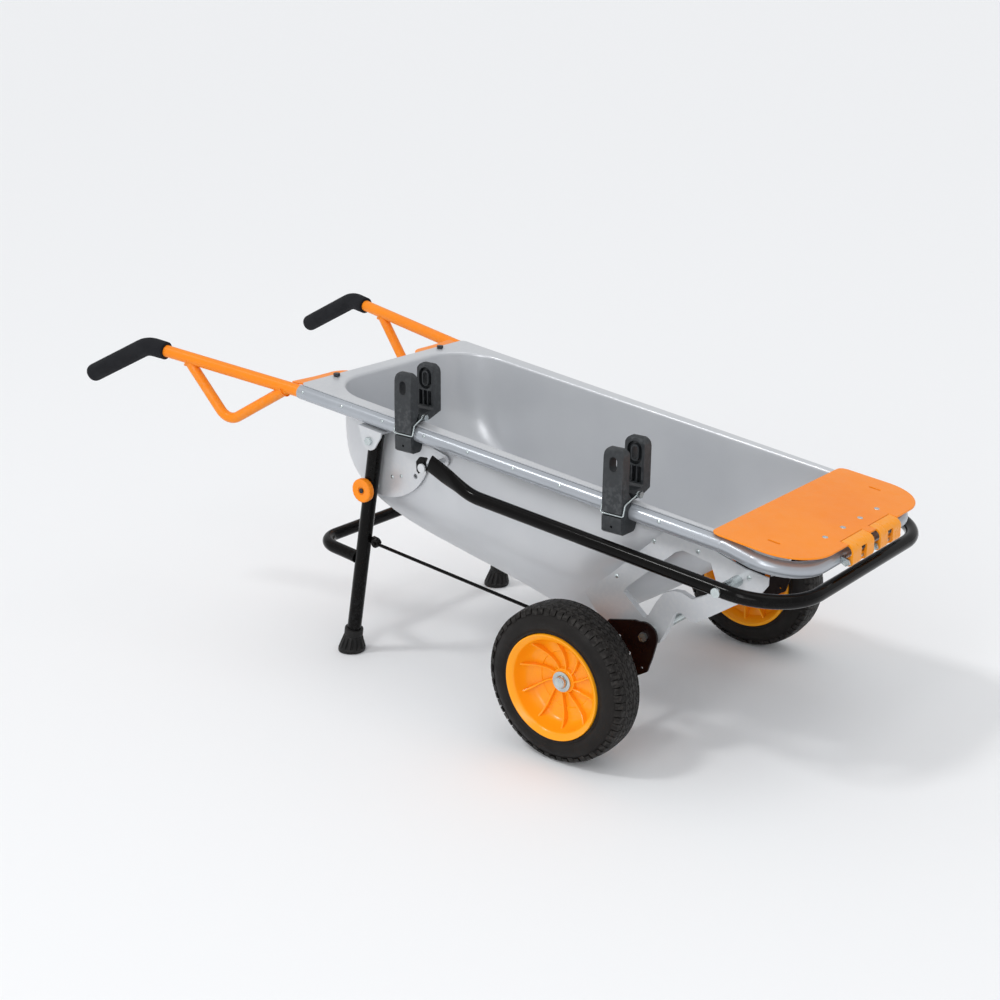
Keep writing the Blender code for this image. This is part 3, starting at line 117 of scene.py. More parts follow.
def rim_z(s):
    return RIM_REAR_Z - RIM_FALL * s


def rim_half(s):
    return RIM_HALF_REAR - RIM_TAPER * s


def rail_z(s):
    return rim_z(s) - SHEET - GAP - RAIL_R * hypot(1.0, RIM_FALL)


def floor_z(s):
    low = RIM_REAR_Z - 0.181 - 0.335 * FLOOR_LOW_S
    rear = low + 0.335 * (FLOOR_LOW_S - s)
    front = low + 0.65 * (s - FLOOR_LOW_S)
    return 0.5 * (rear + front) + hypot(0.5 * (rear - front), FLOOR_BLEND)


def low_high(side, near, far):
    return sorted((side * near, side * far))


# ---- materials

DRIFT_RANGE = (0.35, 0.65)  # part of the slow noise over which the colour changes
EDGE_RANGE = (0.515, 0.56)  # pointiness at which an edge is worn
BREAK_RANGE = (0.45, 0.62)  # noise that breaks the wear up
GLOSS_RANGE = (0.3, 0.7)  # noise that changes the roughness
BREAK_SCALE = 160.0
GLOSS_SCALE = 45.0
BUMP_DISTANCE = 0.001


def paint(name, base, shade, rough, metallic=0.0, grain=900.0, bump=0.05, patch=7.0, rough_span=0.1,
          wear=None, cells=None, specular=None):
    """A Principled material with slow colour drift, fine grain in bump and roughness, and edge wear."""
    made = bpy.data.materials.new(name)
    made.use_nodes = True
    nodes = made.node_tree.nodes
    links = made.node_tree.links
    shader = nodes["Principled BSDF"]
    shader.inputs["Metallic"].default_value = metallic
    if specular is not None:
        shader.inputs["Specular IOR Level"].default_value = specular
    where = nodes.new("ShaderNodeTexCoord")

    def noise(scale, detail):
        texture = nodes.new("ShaderNodeTexNoise")
        texture.inputs["Scale"].default_value = scale
        texture.inputs["Detail"].default_value = detail
        links.new(where.outputs["Object"], texture.inputs["Vector"])
        return texture.outputs["Fac"]

    def span(value, reach, low, high):
        change = nodes.new("ShaderNodeMapRange")
        for socket, number in zip(("From Min", "From Max", "To Min", "To Max"), (*reach, low, high)):
            change.inputs[socket].default_value = number
        links.new(value, change.inputs["Value"])
        return change.outputs["Result"]

    def mix(factor, first, second):
        blend = nodes.new("ShaderNodeMix")
        blend.data_type = "RGBA"
        links.new(factor, blend.inputs["Factor"])
        for value, socket in ((first, blend.inputs["A"]), (second, blend.inputs["B"])):
            if isinstance(value, tuple):
                socket.default_value = (*value, 1.0)
            else:
                links.new(value, socket)
        return blend.outputs["Result"]

    colour = mix(span(noise(patch, 3.0), DRIFT_RANGE, 0.0, 1.0), base, shade)
    if wear is not None:
        worn_colour, reach = wear
        edge = nodes.new("ShaderNodeNewGeometry").outputs["Pointiness"]
        broken = nodes.new("ShaderNodeMath")
        broken.operation = "MULTIPLY"
        links.new(span(edge, EDGE_RANGE, 0.0, 1.0), broken.inputs[0])
        links.new(span(noise(BREAK_SCALE, 4.0), BREAK_RANGE, 0.0, reach), broken.inputs[1])
        colour = mix(broken.outputs[0], colour, worn_colour)
    links.new(colour, shader.inputs["Base Color"])
    half_span = rough_span * 0.5
    links.new(span(noise(GLOSS_SCALE, 4.0), GLOSS_RANGE, rough - half_span, rough + half_span),
              shader.inputs["Roughness"])
    height = noise(grain, 2.0)
    if cells is not None:
        pores = nodes.new("ShaderNodeTexVoronoi")
        pores.inputs["Scale"].default_value = cells
        links.new(where.outputs["Object"], pores.inputs["Vector"])
        height = pores.outputs["Distance"]
    relief = nodes.new("ShaderNodeBump")
    relief.inputs["Strength"].default_value = bump
    relief.inputs["Distance"].default_value = BUMP_DISTANCE
    links.new(height, relief.inputs["Height"])
    links.new(relief.outputs["Normal"], shader.inputs["Normal"])
    return made


MATS = {
    "silver_paint": paint(
        "silver_powder_coat", (0.6, 0.615, 0.635), (0.565, 0.58, 0.605), 0.3, metallic=0.3, grain=1500.0,
        bump=0.03, rough_span=0.05, wear=((0.66, 0.66, 0.66), 0.3)),
    "silver_tube": paint(
        "silver_tube_coat", (0.42, 0.445, 0.48), (0.395, 0.42, 0.455), 0.26, metallic=0.45, grain=1500.0,
        bump=0.02, rough_span=0.03),
    "orange_paint": paint(
        "orange_powder_coat", (0.93, 0.265, 0.01), (0.9, 0.24, 0.008), 0.34, specular=0.22, grain=1400.0,
        bump=0.08, wear=((0.8, 0.36, 0.12), 0.3)),
    "hinge_orange": paint(
        "hinge_orange", (0.95, 0.335, 0.009), (0.93, 0.31, 0.008), 0.3, specular=0.25, grain=1200.0,
        bump=0.05, wear=((0.85, 0.45, 0.15), 0.3)),
    "black_paint": paint(
        "black_enamel", (0.0022, 0.002, 0.0019), (0.0032, 0.0029, 0.0028), 0.13, specular=0.11, grain=500.0,
        bump=0.02, rough_span=0.04, wear=((0.03, 0.03, 0.03), 0.3)),
    "carrier_paint": paint(
        "dark_enamel", (0.0075, 0.003, 0.0026), (0.011, 0.0045, 0.0038), 0.24, specular=0.14, grain=600.0,
        bump=0.03),
    "clip_plastic": paint(
        "charcoal_nylon", (0.027, 0.03, 0.033), (0.022, 0.025, 0.028), 0.4, specular=0.35, grain=1100.0,
        bump=0.18, rough_span=0.12, wear=((0.08, 0.085, 0.09), 0.5)),
    "grip_foam": paint(
        "grip_foam", (0.013, 0.0135, 0.016), (0.0175, 0.0182, 0.021), 0.8, cells=1400.0, bump=0.45,
        specular=0.12, patch=30.0),
    "foot_rubber": paint(
        "foot_rubber", (0.01, 0.01, 0.01), (0.016, 0.015, 0.015), 0.5, grain=700.0, bump=0.25, patch=40.0,
        rough_span=0.2, specular=0.22),
    "tyre_rubber": paint(
        "tyre_rubber", (0.008, 0.0068, 0.0062), (0.013, 0.0112, 0.0102), 0.5, grain=650.0, bump=0.35,
        patch=24.0, rough_span=0.22, specular=0.18, wear=((0.04, 0.037, 0.034), 0.6)),
    "wheel_plastic": paint(
        "wheel_plastic", (0.99, 0.385, 0.009), (0.985, 0.36, 0.008), 0.24, specular=0.35, grain=800.0,
        bump=0.03, rough_span=0.06),
    "knob_plastic": paint(
        "knob_plastic", (0.93, 0.27, 0.01), (0.9, 0.245, 0.009), 0.34, specular=0.25, bump=0.1),
    "zinc": paint(
        "zinc_plate", (0.6, 0.66, 0.66), (0.48, 0.53, 0.54), 0.26, metallic=0.95, grain=1300.0, bump=0.08,
        patch=60.0, rough_span=0.12),
    "dark_bolt": paint(
        "black_oxide", (0.022, 0.024, 0.03), (0.045, 0.048, 0.058), 0.4, metallic=0.6, grain=1300.0,
        bump=0.1, patch=80.0),
}


# ---- mesh helpers


def add_object(name, data):
    made = bpy.data.objects.new(name, data)
    bpy.context.scene.collection.objects.link(made)
    return made


def mesh_of(name, bm):
    """Weld and orient a bmesh, and turn it into a mesh."""
    bmesh.ops.remove_doubles(bm, verts=bm.verts, dist=WELD)
    bmesh.ops.recalc_face_normals(bm, faces=bm.faces)
    mesh = bpy.data.meshes.new(name)
    bm.to_mesh(mesh)
    bm.free()
    return mesh


def shade(mesh):
    mesh.shade_smooth()
    mesh.set_sharp_from_angle(angle=SHARP)


def piece(name, bm, material, body, replaces=(), bevel=0.0, segments=2):
    """Make a shown piece from a bmesh in the row frame."""
    mesh = mesh_of(name, bm)
    shade(mesh)
    made = add_object(name, mesh)
    made.data.materials.append(MATS[material])
    if bevel:
        add_bevel(made, bevel, segments)
    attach(made, body)
    if replaces:
        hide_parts(*replaces)
    return made


def add_bevel(made, width, segments=2, angle=35.0):
    bevel = made.modifiers.new("edge", "BEVEL")
    bevel.width = width
    bevel.segments = segments
    bevel.limit_method = "ANGLE"
    bevel.angle_limit = radians(angle)


def merge(target, *others):
    for other in others:
        scratch = bpy.data.meshes.new("scratch")
        other.to_mesh(scratch)
        other.free()
        target.from_mesh(scratch)
        bpy.data.meshes.remove(scratch)
    return target


def frames(path):
    """A side and an up direction at each point of a path, without twist."""
    last = len(path) - 1
    tangents = [(path[min(i + 1, last)] - path[max(i - 1, 0)]).normalized() for i in range(last + 1)]
    side = tangents[0].cross(Vector((0.0, 0.0, 1.0)))
    if side.length < 1e-3:
        side = Vector((0.0, 1.0, 0.0))
    side.normalize()
    result = []
    for i, tangent in enumerate(tangents):
        if i:
            side = side - tangent * side.dot(tangent)
            side.normalize()
        result.append((side, tangent.cross(side).normalized()))
    return result


def bridge(bm, first, second):
    count = len(first)
    for k in range(count):
        j = (k + 1) % count
        bm.faces.new((first[k], first[j], second[j], second[k]))


def skin(bm, rings, closed=True):
    """Join rings of vertices into a wall, with a face over each end if it is closed."""
    for first, second in zip(rings, rings[1:]):
        bridge(bm, first, second)
    if closed:
        bm.faces.new(rings[0])
        bm.faces.new(rings[-1])


def fan(bm, ring, tip):
    """Close a ring of vertices with triangles that meet in one point."""
    pole = bm.verts.new(tip)
    for k in range(len(ring)):
        bm.faces.new((ring[k], ring[(k + 1) % len(ring)], pole))


def turned(bm, centre, radius, along, angle):
    """A vertex at an angle round an axis that runs along Y through centre."""
    x, y, z = centre
    return bm.verts.new((x + radius * cos(angle), y + along, z + radius * sin(angle)))


def steps_round(count):
    return [TAU * k / count for k in range(count)]


def sweep(path, radii, count=28, oval=None):
    """A tube along a path; oval gives (side, up) factors for each point."""
    bm = bmesh.new()
    points = [Vector(p) for p in path]
    sizes = radii if isinstance(radii, (list, tuple)) else [radii] * len(points)
    rings = []
    for i, (point, (side, up), radius) in enumerate(zip(points, frames(points), sizes)):
        wide, tall = oval[i] if oval else (1.0, 1.0)
        rings.append([bm.verts.new(point + side * (radius * wide * cos(a)) + up * (radius * tall * sin(a)))
            for a in steps_round(count)])
    skin(bm, rings)
    return bm


def rounded(points, radii, steps=12):
    pts = [Vector(p) for p in points]
    result = []
    for i, corner in enumerate(pts):
        radius = radii[i]
        if radius <= 0.0 or i in (0, len(pts) - 1):
            result.append(corner)
            continue
        back = (pts[i - 1] - corner).normalized()
        ahead = (pts[i + 1] - corner).normalized()
        angle = back.angle(ahead)
        reach = radius / tan(angle / 2.0)
        centre = corner + (back + ahead).normalized() * (radius / sin(angle / 2.0))
        start = corner + back * reach - centre
        end = corner + ahead * reach - centre
        turn = start.angle(end)
        for k in range(steps + 1):
            t = k / steps
            result.append(centre + (start * sin((1.0 - t) * turn) + end * sin(t * turn)) / sin(turn))
    return result


def plate(outline, *ends):
    """A flat piece with an (x, z) outline, between two values of y."""
    bm = bmesh.new()
    skin(bm, [[bm.verts.new((x, y, z)) for x, z in outline] for y in ends])
    return bm


def mirrored(group_of, sizes, steps=12):
    """A rounded line that runs from the right side to the left, from a function that gives one side's points."""
    right, left = group_of(-1.0), group_of(1.0)
    return rounded(right + left[::-1], sizes + sizes[::-1], steps)


def soften(outline, radius, steps=4):
    """Round the corners of a closed polygon of (x, z) points."""
    result = []
    count = len(outline)
    for i in range(count):
        a, b, c = (Vector(outline[(i + d) % count]) for d in (-1, 0, 1))
        before = (a - b).length
        after = (c - b).length
        reach = min(radius, 0.45 * before, 0.45 * after)
        start = b + (a - b).normalized() * reach
        end = b + (c - b).normalized() * reach
        for k in range(steps + 1):
            t = k / steps
            point = start * (1 - t) ** 2 + b * 2 * t * (1 - t) + end * t ** 2
            result.append((point.x, point.y))
    return result


def slab(profile, *ends):
    """A piece with a (y, z) outline on the right side, between two values of x."""
    bm = bmesh.new()
    skin(bm, [[bm.verts.new((x, -y, z)) for y, z in profile] for x in ends])
    return bm


def arc(cx, cz, radius, start, end, steps):
    angles = [radians(start + (end - start) * k / steps) for k in range(steps + 1)]
    return [(cx + radius * cos(a), cz + radius * sin(a)) for a in angles]


def around(cx, cz, *offsets):
    return [(cx + dx, cz + dz) for dx, dz in offsets]


def rod_y(x, z, y_low, y_high, radius, count=28):
    return sweep([(x, y_low, z), (x, y_high, z)], radius, count)


def subtract(made, tool):
    change = made.modifiers.new("cut", "BOOLEAN")
    change.operation = "DIFFERENCE"
    change.solver = "EXACT"
    change.object = tool
    return change


def evaluated(made):
    """The mesh of an object with its modifiers applied."""
    bpy.context.view_layer.update()
    return bpy.data.meshes.new_from_object(made.evaluated_get(bpy.context.evaluated_depsgraph_get()))


def cut(made, *shapes):
    """Cut shapes out of a piece and apply the result."""
    for number, bm in enumerate(shapes):
        tool = add_object(f"{made.name}_cut_{number}", mesh_of(f"{made.name}_cut_{number}", bm))
        others = list(made.modifiers)
        change = subtract(made, tool)
        made.modifiers.move(len(made.modifiers) - 1, 0)
        for other in others:
            other.show_viewport = False
        result = evaluated(made)
        for other in others:
            other.show_viewport = True
        made.modifiers.remove(change)
        made.data = result
        bpy.data.objects.remove(tool)
    shade(made.data)


def dome(centre, normal, radius, height, base=0.0004, count=16, steps=5):
    """A rivet head: a low dome with a small straight edge."""
    bm = bmesh.new()
    up = Vector(normal).normalized()
    side = up.orthogonal().normalized()
    across = up.cross(side)
    middle = Vector(centre)
    rings = []
    levels = [(-base, 1.0), (0.0, 1.0)]
    for k in range(1, steps):
        a = radians(90.0 * k / steps)
        levels.append((height * sin(a), cos(a)))
    for rise, share in levels:
        rings.append([bm.verts.new(middle + up * rise + side * (radius * share * cos(a))
            + across * (radius * share * sin(a))) for a in steps_round(count)])
    skin(bm, rings, closed=False)
    fan(bm, rings[-1], middle + up * height)
    bm.faces.new(rings[0])
    return bm


# ---- tub

TUB_LEVELS = (0.9993, 0.997, 0.993, 0.986, 0.976, 0.963, 0.947, 0.928, 0.905, 0.878, 0.845, 0.805, 0.76,
    0.71, 0.65, 0.585, 0.515, 0.44, 0.36, 0.28, 0.2, 0.12, 0.05)
TUB_FILLET = 0.0055
SQUARE, SQUARE_REAR, SQUARE_FRONT = 3.0, 3.0, 0.5  # how square the tub's sections are, and where


def plan_outline(rear_s, front_s, half_at, corner_rear, corner_front, side_points, end_points, steps):
    """The tub's outline from above: four rounded corners joined by straight runs."""
    corners = (
        (rear_s, half_at(rear_s), corner_rear, 180.0, 90.0),
        (front_s, half_at(front_s), corner_front, 90.0, 0.0),
        (front_s, -half_at(front_s), corner_front, 0.0, -90.0),
        (rear_s, -half_at(rear_s), corner_rear, -90.0, -180.0),
    )
    runs = (side_points, end_points, side_points, end_points)
    arcs = []
    for s, y, radius, start, end in corners:
        cx = s + radius if s == rear_s else s - radius
        cy = y - copysign(radius, y)
        arcs.append(arc(cx, cy, radius, start, end, steps))
    points = []
    for i, turn in enumerate(arcs):
        points.extend(turn)
        following = arcs[(i + 1) % 4][0]
        last = turn[-1]
        for k in range(1, runs[i]):
            t = k / runs[i]
            points.append((last[0] + (following[0] - last[0]) * t, last[1] + (following[1] - last[1]) * t))
    return points


def mouth_half(s):
    return rim_half(s) - (FLANGE_SIDE_REAR - FLANGE_SIDE_TAPER * s)


def outward(points):
    """Outward normals of a closed plan outline."""
    centre = Vector((sum(p[0] for p in points) / len(points), 0.0))
    made = []
    for i, p in enumerate(points):
        a = Vector(points[i - 1])
        b = Vector(points[(i + 1) % len(points)])
        normal = Vector(((b - a).y, -(b - a).x)).normalized()
        if normal.dot(Vector(p) - centre) < 0.0:
            normal = -normal
        made.append(normal)
    return made


def make_tub():
    counts = (44, 18, 12)
    edge = plan_outline(0.0, RIM_LENGTH, rim_half, 0.01, 0.08, *counts)
    mouth = plan_outline(FLANGE_REAR, RIM_LENGTH - FLANGE_FRONT, mouth_half, 0.09, 0.09, *counts)
    normals = outward(mouth)
    bm = bmesh.new()
    levels = [[(s, y, rim_z(s)) for s, y in edge]]
    for degrees in (0.0, 22.5, 45.0, 67.5, 90.0):
        a = radians(degrees)
        out = TUB_FILLET * (1.0 - sin(a))
        drop = TUB_FILLET * (1.0 - cos(a))
        ring = []
        for (s, y), n in zip(mouth, normals):
            s_out = s + n.x * out
            ring.append((s_out, y + n.y * out, rim_z(s_out) - drop))
        levels.append(ring)
    for reach in TUB_LEVELS:
        ring = []
        for s, y in mouth:
            along = (s - FLOOR_LOW_S) / (0.5 * RIM_LENGTH)
            square = SQUARE + (SQUARE_REAR if along < 0.0 else SQUARE_FRONT) * min(abs(along), 1.0) ** 3
            share = (1.0 - reach ** square) ** (1.0 / square)
            s_in = FLOOR_LOW_S + (s - FLOOR_LOW_S) * reach
            ring.append((s_in, y * reach, rim_z(s_in) + share * (floor_z(s_in) - rim_z(s_in))))
        levels.append(ring)
    rings = [[bm.verts.new((at(s), y, z)) for s, y, z in ring] for ring in levels]
    skin(bm, rings, closed=False)
    fan(bm, rings[-1], (at(FLOOR_LOW_S), 0.0, floor_z(FLOOR_LOW_S)))
    bmesh.ops.recalc_face_normals(bm, faces=bm.faces)
    if sum(face.normal.z * face.calc_area() for face in bm.faces) < 0.0:
        bmesh.ops.reverse_faces(bm, faces=bm.faces)
    bm.normal_update()
    boundary = [e for e in bm.edges if e.is_boundary]
    shift = {}
    for vert in list(bm.verts):
        normal = vert.normal.copy()
        if any(e.is_boundary for e in vert.link_edges):
            normal = Vector((0.0, 0.0, 1.0))
        shift[vert] = bm.verts.new(vert.co - normal * SHEET)
    for face in list(bm.faces):
        bm.faces.new([shift[v] for v in reversed(face.verts)])
    for e in boundary:
        a, b = e.verts
        bm.faces.new((a, b, shift[b], shift[a]))
    piece("tub_shell", bm, "silver_paint", "chassis", ["tub"])


# ---- rails, handles

def rivet_row():
    heads = bmesh.new()
    lean = radians(25.0)
    for _, side in SIDES:
        for k in range(9):
            s = 0.015 + 0.0905 * k
            out = Vector((0.0, side * cos(lean), sin(lean)))
            centre = Vector((at(s), side * rim_half(s), rail_z(s))) + out * (RAIL_R - 0.0001)
            merge(heads, dome(centre, out, 0.003, 0.0016))
    piece("rail_rivets", heads, "zinc", "chassis")


def make_rails():
    for name, side in SIDES:
        ends = [(at(s), side * rim_half(s), rail_z(s))
                for s in (0.0, 0.004, 0.3, 0.6, RAIL_LENGTH - 0.004, RAIL_LENGTH)]
        radii = [RAIL_R - 0.0004, RAIL_R, RAIL_R, RAIL_R, RAIL_R, RAIL_R - 0.0006]
        piece(f"{name}_side_rail", sweep(ends, radii, 32), "silver_tube", "chassis", [f"{name}_rail"])
    start_s = RAIL_LENGTH + GAP
    lead_s = start_s + 0.006
    turn_s = start_s + 0.05

    def one_side(side):
        return [(at(start_s), side * rim_half(start_s), rail_z(start_s)),
                (at(lead_s), side * rim_half(lead_s), rail_z(lead_s)),
                (at(turn_s), side * rim_half(lead_s), rail_z(turn_s) - 0.006),
                (at(FRONT_RAIL_S), side * rim_half(lead_s), FRONT_RAIL_Z)]

    line = mirrored(one_side, [0.0, 0.0, 0.03, 0.07])
    piece("front_rail_tube", sweep(line, RAIL_R, 28), "silver_tube", "chassis", ["front_rail"])
    rivet_row()


def handle_point(side, s, z=None, y=None):
    """A point on the straight part of a handle, or one with its own height and width."""
    hz = rail_z(0.0) - HANDLE_RISE * s
    hy = rim_half(0.0) - HANDLE_SPREAD * s
    return Vector((at(s), side * (hy if y is None else y), hz if z is None else z))


GRIP_END = ((0.01, 1.0), (0.006, 0.975), (0.0035, 0.92), (0.0015, 0.8), (0.0004, 0.62), (0.0, 0.4))


def make_handles():
    for name, side in SIDES:
        end = handle_point(side, -0.492, 0.43, 0.287)
        bend = handle_point(side, -0.342)
        start = handle_point(side, -0.2986)
        toward = (end - bend).normalized()
        rail_way = Vector((1.0, -side * RIM_TAPER, -RIM_FALL)).normalized()
        rail_end = handle_point(side, 0.0)
        line = rounded([rail_end - rail_way * GAP, rail_end - rail_way * 0.006, start, bend, end - toward * 0.012],
            [0, 0, 0, 0.06, 0])
        tube = sweep(line, HANDLE_R, 28)
        loop = rounded([handle_point(side, LOOP_REAR_S),
            handle_point(side, LOOP_LOW_S, handle_point(side, LOOP_LOW_S).z - 0.098),
            handle_point(side, LOOP_FRONT_S)], [0, 0.03, 0])
        merge(tube, sweep(loop, LOOP_R, 24))
        for s, way in ((LOOP_REAR_S, (loop[1] - loop[0]).normalized()),
                       (LOOP_FRONT_S, (loop[-2] - loop[-1]).normalized())):
            foot = handle_point(side, s) + way * (HANDLE_R + 0.0008)
            merge(tube, sweep([foot - way * 0.0022, foot, foot + way * 0.0016], [0.0125, 0.0116, 0.0097], 20))
        piece(f"{name}_handle_tube", tube, "orange_paint", "chassis", [f"{name}_handle"])
        make_tab(name, side)
        grip = rounded([start, bend, end], [0, 0.06, 0], 16)
        onward = (grip[1] - grip[0]).normalized()
        path = [grip[0] - onward * 0.0001, grip[0] + onward * 0.0012]
        sizes = [GRIP_R - 0.0022, GRIP_R - 0.0004]
        path += grip[1:-1]
        sizes += [GRIP_R] * (len(grip) - 2)
        for back, share in GRIP_END:
            path.append(end - toward * back)
            sizes.append(GRIP_R * share)
        piece(f"{name}_foam_grip", sweep(path, sizes, 32), "grip_foam", "chassis", [f"{name}_grip"])


def make_tab(name, side):
    top = rim_z(0.0) - SHEET - GAP
    inner = rim_half(0.0) - 0.13
    outer = rim_half(0.0) - 0.004
    corners = [(-0.013, inner + 0.004), (-0.024, inner + 0.022), (-0.024, outer - 0.055), (-0.03, outer),
               (0.018, outer - 0.013), (0.018, inner + 0.01), (0.01, inner)]
    bm = bmesh.new()
    upper = [bm.verts.new((at(s), side * y, top - RIM_FALL * max(s, 0.0))) for s, y in soften(corners, 0.008)]
    lower = [bm.verts.new((v.co.x, v.co.y, v.co.z - TAB_THICK)) for v in upper]
    skin(bm, [upper, lower])
    piece(f"{name}_flat_tab", bm, "orange_paint", "chassis", bevel=0.0006)


# ---- legs

def leg_point(along, offset=0.0):
    down = (-sin(LEG_TILT), -cos(LEG_TILT))
    ahead = (cos(LEG_TILT), -sin(LEG_TILT))
    return (at(LEG_PIVOT_S) + down[0] * along + ahead[0] * offset,
            LEG_PIVOT_Z + down[1] * along + ahead[1] * offset)


def make_legs():
    sole = LEG_PIVOT_Z / cos(LEG_TILT)
    for name, side in SIDES:
        y = side * LEG_Y
        marks = [(-0.0135, 0.75), (-0.0115, 0.95), (-0.008, 1.0), (0.1, 1.0), (0.2, 1.0), (0.3, 1.0),
                 (sole - 0.012, 1.0)]
        path = [(leg_point(a)[0], y, leg_point(a)[1]) for a, _ in marks]
        leg = sweep(path, [LEG_R * share for _, share in marks], 28)
        eye_x, eye_z = leg_point(ROD_LEG_RADIUS, ROD_LEG_OFFSET)
        near = leg_point(ROD_LEG_RADIUS, LEG_R - 0.003)
        lug = plate(soften([(near[0] + 0.001, near[1] + 0.006), (eye_x, eye_z + 0.0065), (eye_x + 0.006, eye_z),
                    (eye_x, eye_z - 0.0065), (near[0] - 0.001, near[1] - 0.006)], 0.003),
            *low_high(side, 0.1965, 0.2035))
        merge(leg, lug, rod_y(eye_x, eye_z, *low_high(side, 0.203, 0.213), 0.003, 16))
        piece(f"{name}_leg_tube", leg, "black_paint", "leg_frame", [f"{name}_leg"])
        make_foot(name, side, sole)
        make_knob(name, side)
    along = (LEG_PIVOT_Z - KICK_Z) / cos(LEG_TILT)
    first = leg_point(along, -LEG_R - 0.0006)
    lead = leg_point(along, -LEG_R - 0.01)

    def one_side(side):
        return [(first[0], side * LEG_Y, first[1]), (lead[0], side * LEG_Y, lead[1]),
                (at(0.018), side * (LEG_Y - 0.004), KICK_Z + 0.01)]

    bar = sweep(mirrored(one_side, [0.0, 0.0, 0.045]), KICK_R, 28)
    piece("kick_bar_tube", bar, "black_paint", "leg_frame", ["kick_bar"])


# height above the sole, radius, share of the leg's tilt, depth of the grooves
FOOT_PROFILE = (
    (0.046, 0.015, 1.0, 0.0), (0.0456, 0.0163, 1.0, 0.0), (0.044, 0.0168, 1.0, 0.0), (0.0345, 0.0168, 1.0, 0.0),
    (0.0335, 0.0158, 0.95, 0.0), (0.032, 0.0158, 0.9, 0.0), (0.0305, 0.0172, 0.85, 0.0005),
    (0.025, 0.0188, 0.6, 0.0022), (0.017, 0.0214, 0.35, 0.0028), (0.01, 0.0234, 0.1, 0.0026),
    (0.0078, 0.024, 0.0, 0.0008), (0.007, 0.0245, 0.0, 0.0), (0.002, 0.0245, 0.0, 0.0),
    (0.0005, 0.024, 0.0, 0.0), (0.0, 0.0228, 0.0, 0.0))
FOOT_RIBS = 14


def make_foot(name, side, sole):
    """A rubber foot: a straight collar and a skirt with grooves between its ribs."""
    bm = bmesh.new()
    y = side * LEG_Y
    count = FOOT_RIBS * 6
    rings = []
    for height, radius, share, depth in FOOT_PROFILE:
        cx, cz = leg_point(sole - height)
        tilt = LEG_TILT * share
        ring = []
        for k in range(count):
            a = TAU * k / count
            r = radius - (depth if k % 6 in (0, 1) else 0.0)
            dx = r * cos(a)
            ring.append(bm.verts.new((cx + dx * cos(tilt), y + r * sin(a), cz - dx * sin(tilt))))
        rings.append(ring)
    skin(bm, rings)
    piece(f"{name}_rubber_foot", bm, "foot_rubber", "leg_frame", [f"{name}_foot"])


KNOB_PROFILE = ((0.0, 0.0185), (0.0004, 0.0203), (0.002, 0.0209), (0.0085, 0.0209), (0.0105, 0.0205),
    (0.0118, 0.019), (0.012, 0.017), (0.0117, 0.014), (0.011, 0.012), (0.0106, 0.0075),
    (0.009, 0.007), (0.0088, 0.006))
KNOB_FLUTES = 18
KNOB_FLUTE_DEPTH = 0.0007


def make_knob(name, side):
    x, z = leg_point(KNOB_ALONG)
    y0 = LEG_Y + LEG_R + 0.001
    bm = bmesh.new()
    count = KNOB_FLUTES * 6
    rings = []
    for out, radius in KNOB_PROFILE:
        flute = KNOB_FLUTE_DEPTH if radius > 0.018 else 0.0
        rings.append([turned(bm, (x, 0.0, z), radius - (flute if k % 6 == 0 else 0.0), side * (y0 + out),
            TAU * k / count) for k in range(count)])
    skin(bm, rings)
    piece(f"{name}_knob_cap", bm, "knob_plastic", f"{name}_knob", [f"{name}_lock_knob"])
    hexagon = sweep([(x, side * (y0 + 0.009), z), (x, side * (y0 + 0.0116), z)], 0.0048, 6)
    piece(f"{name}_knob_hex", hexagon, "dark_bolt", f"{name}_knob", bevel=0.0006)
    stem = rod_y(x, z, *low_high(side, 0.1918, y0 + 0.002), 0.004)
    piece(f"{name}_lock_pin", stem, "zinc", f"{name}_knob")


# ---- wheels

def revolve(profile, x, y, z, count=96, closed=True):
    bm = bmesh.new()
    rings = [[turned(bm, (x, y, z), radius, along, a) for a in steps_round(count)] for radius, along in profile]
    skin(bm, rings + rings[:1] if closed else rings, closed=False)
    return bm


def tread_radius(v):
    """Outer radius of the tread at a distance v from the wheel's middle plane."""
    reach = abs(v)
    return WHEEL_R - 0.001 * (reach / 0.015) ** 2


TREAD_BLOCKS = 64
TREAD_FILL = 0.92  # share of the pitch that a block fills
TREAD_DEPTH = 0.0032
TREAD_BASE = WHEEL_R - 0.0024
# low edge, high edge, shift round the wheel, skew
TREAD_ROWS = ((-0.022, -0.0144, 0.0, 0.25), (-0.0138, -0.0048, 0.5, 0.5), (-0.0042, 0.0042, 0.0, -0.5),
    (0.0048, 0.0138, 0.5, 0.5), (0.0144, 0.022, 0.0, 0.25))
# radius and distance from the middle plane, for one half of a tyre
TYRE_HALF = [
    (TREAD_BASE, 0.0), (TREAD_BASE - 0.0005, 0.01), (TREAD_BASE - 0.0016, 0.0185), (TREAD_BASE - 0.0042, 0.0245),
    (0.116, 0.0282), (0.113, 0.03), (0.11, 0.0316), (0.106, 0.0332), (0.101, 0.0341), (0.096, 0.0339),
    (0.0925, 0.0328), (0.0915, 0.0319), (0.09, 0.0324), (0.0875, 0.0318), (0.0863, 0.03), (0.0863, 0.0284),
    (0.0783, 0.0275)]


def tread_block(bm, centre, angle, span, v_low, v_high, skew):
    """One tread block: a hexagonal prism that follows the tyre's crown."""
    middle = 0.5 * (v_low + v_high)
    corners = ((-0.5, v_low), (-0.5 + skew, middle), (-0.5, v_high),
               (0.5, v_high), (0.5 + skew, middle), (0.5, v_low))
    rings = []
    for inset, rise in ((0.0, -TREAD_DEPTH), (0.0, -0.0007), (0.06, 0.0)):
        keep = 1.0 - inset
        rings.append([turned(bm, centre, tread_radius(v) + rise, middle + (v - middle) * keep,
            angle + span * u * keep) for u, v in corners])
    skin(bm, rings)


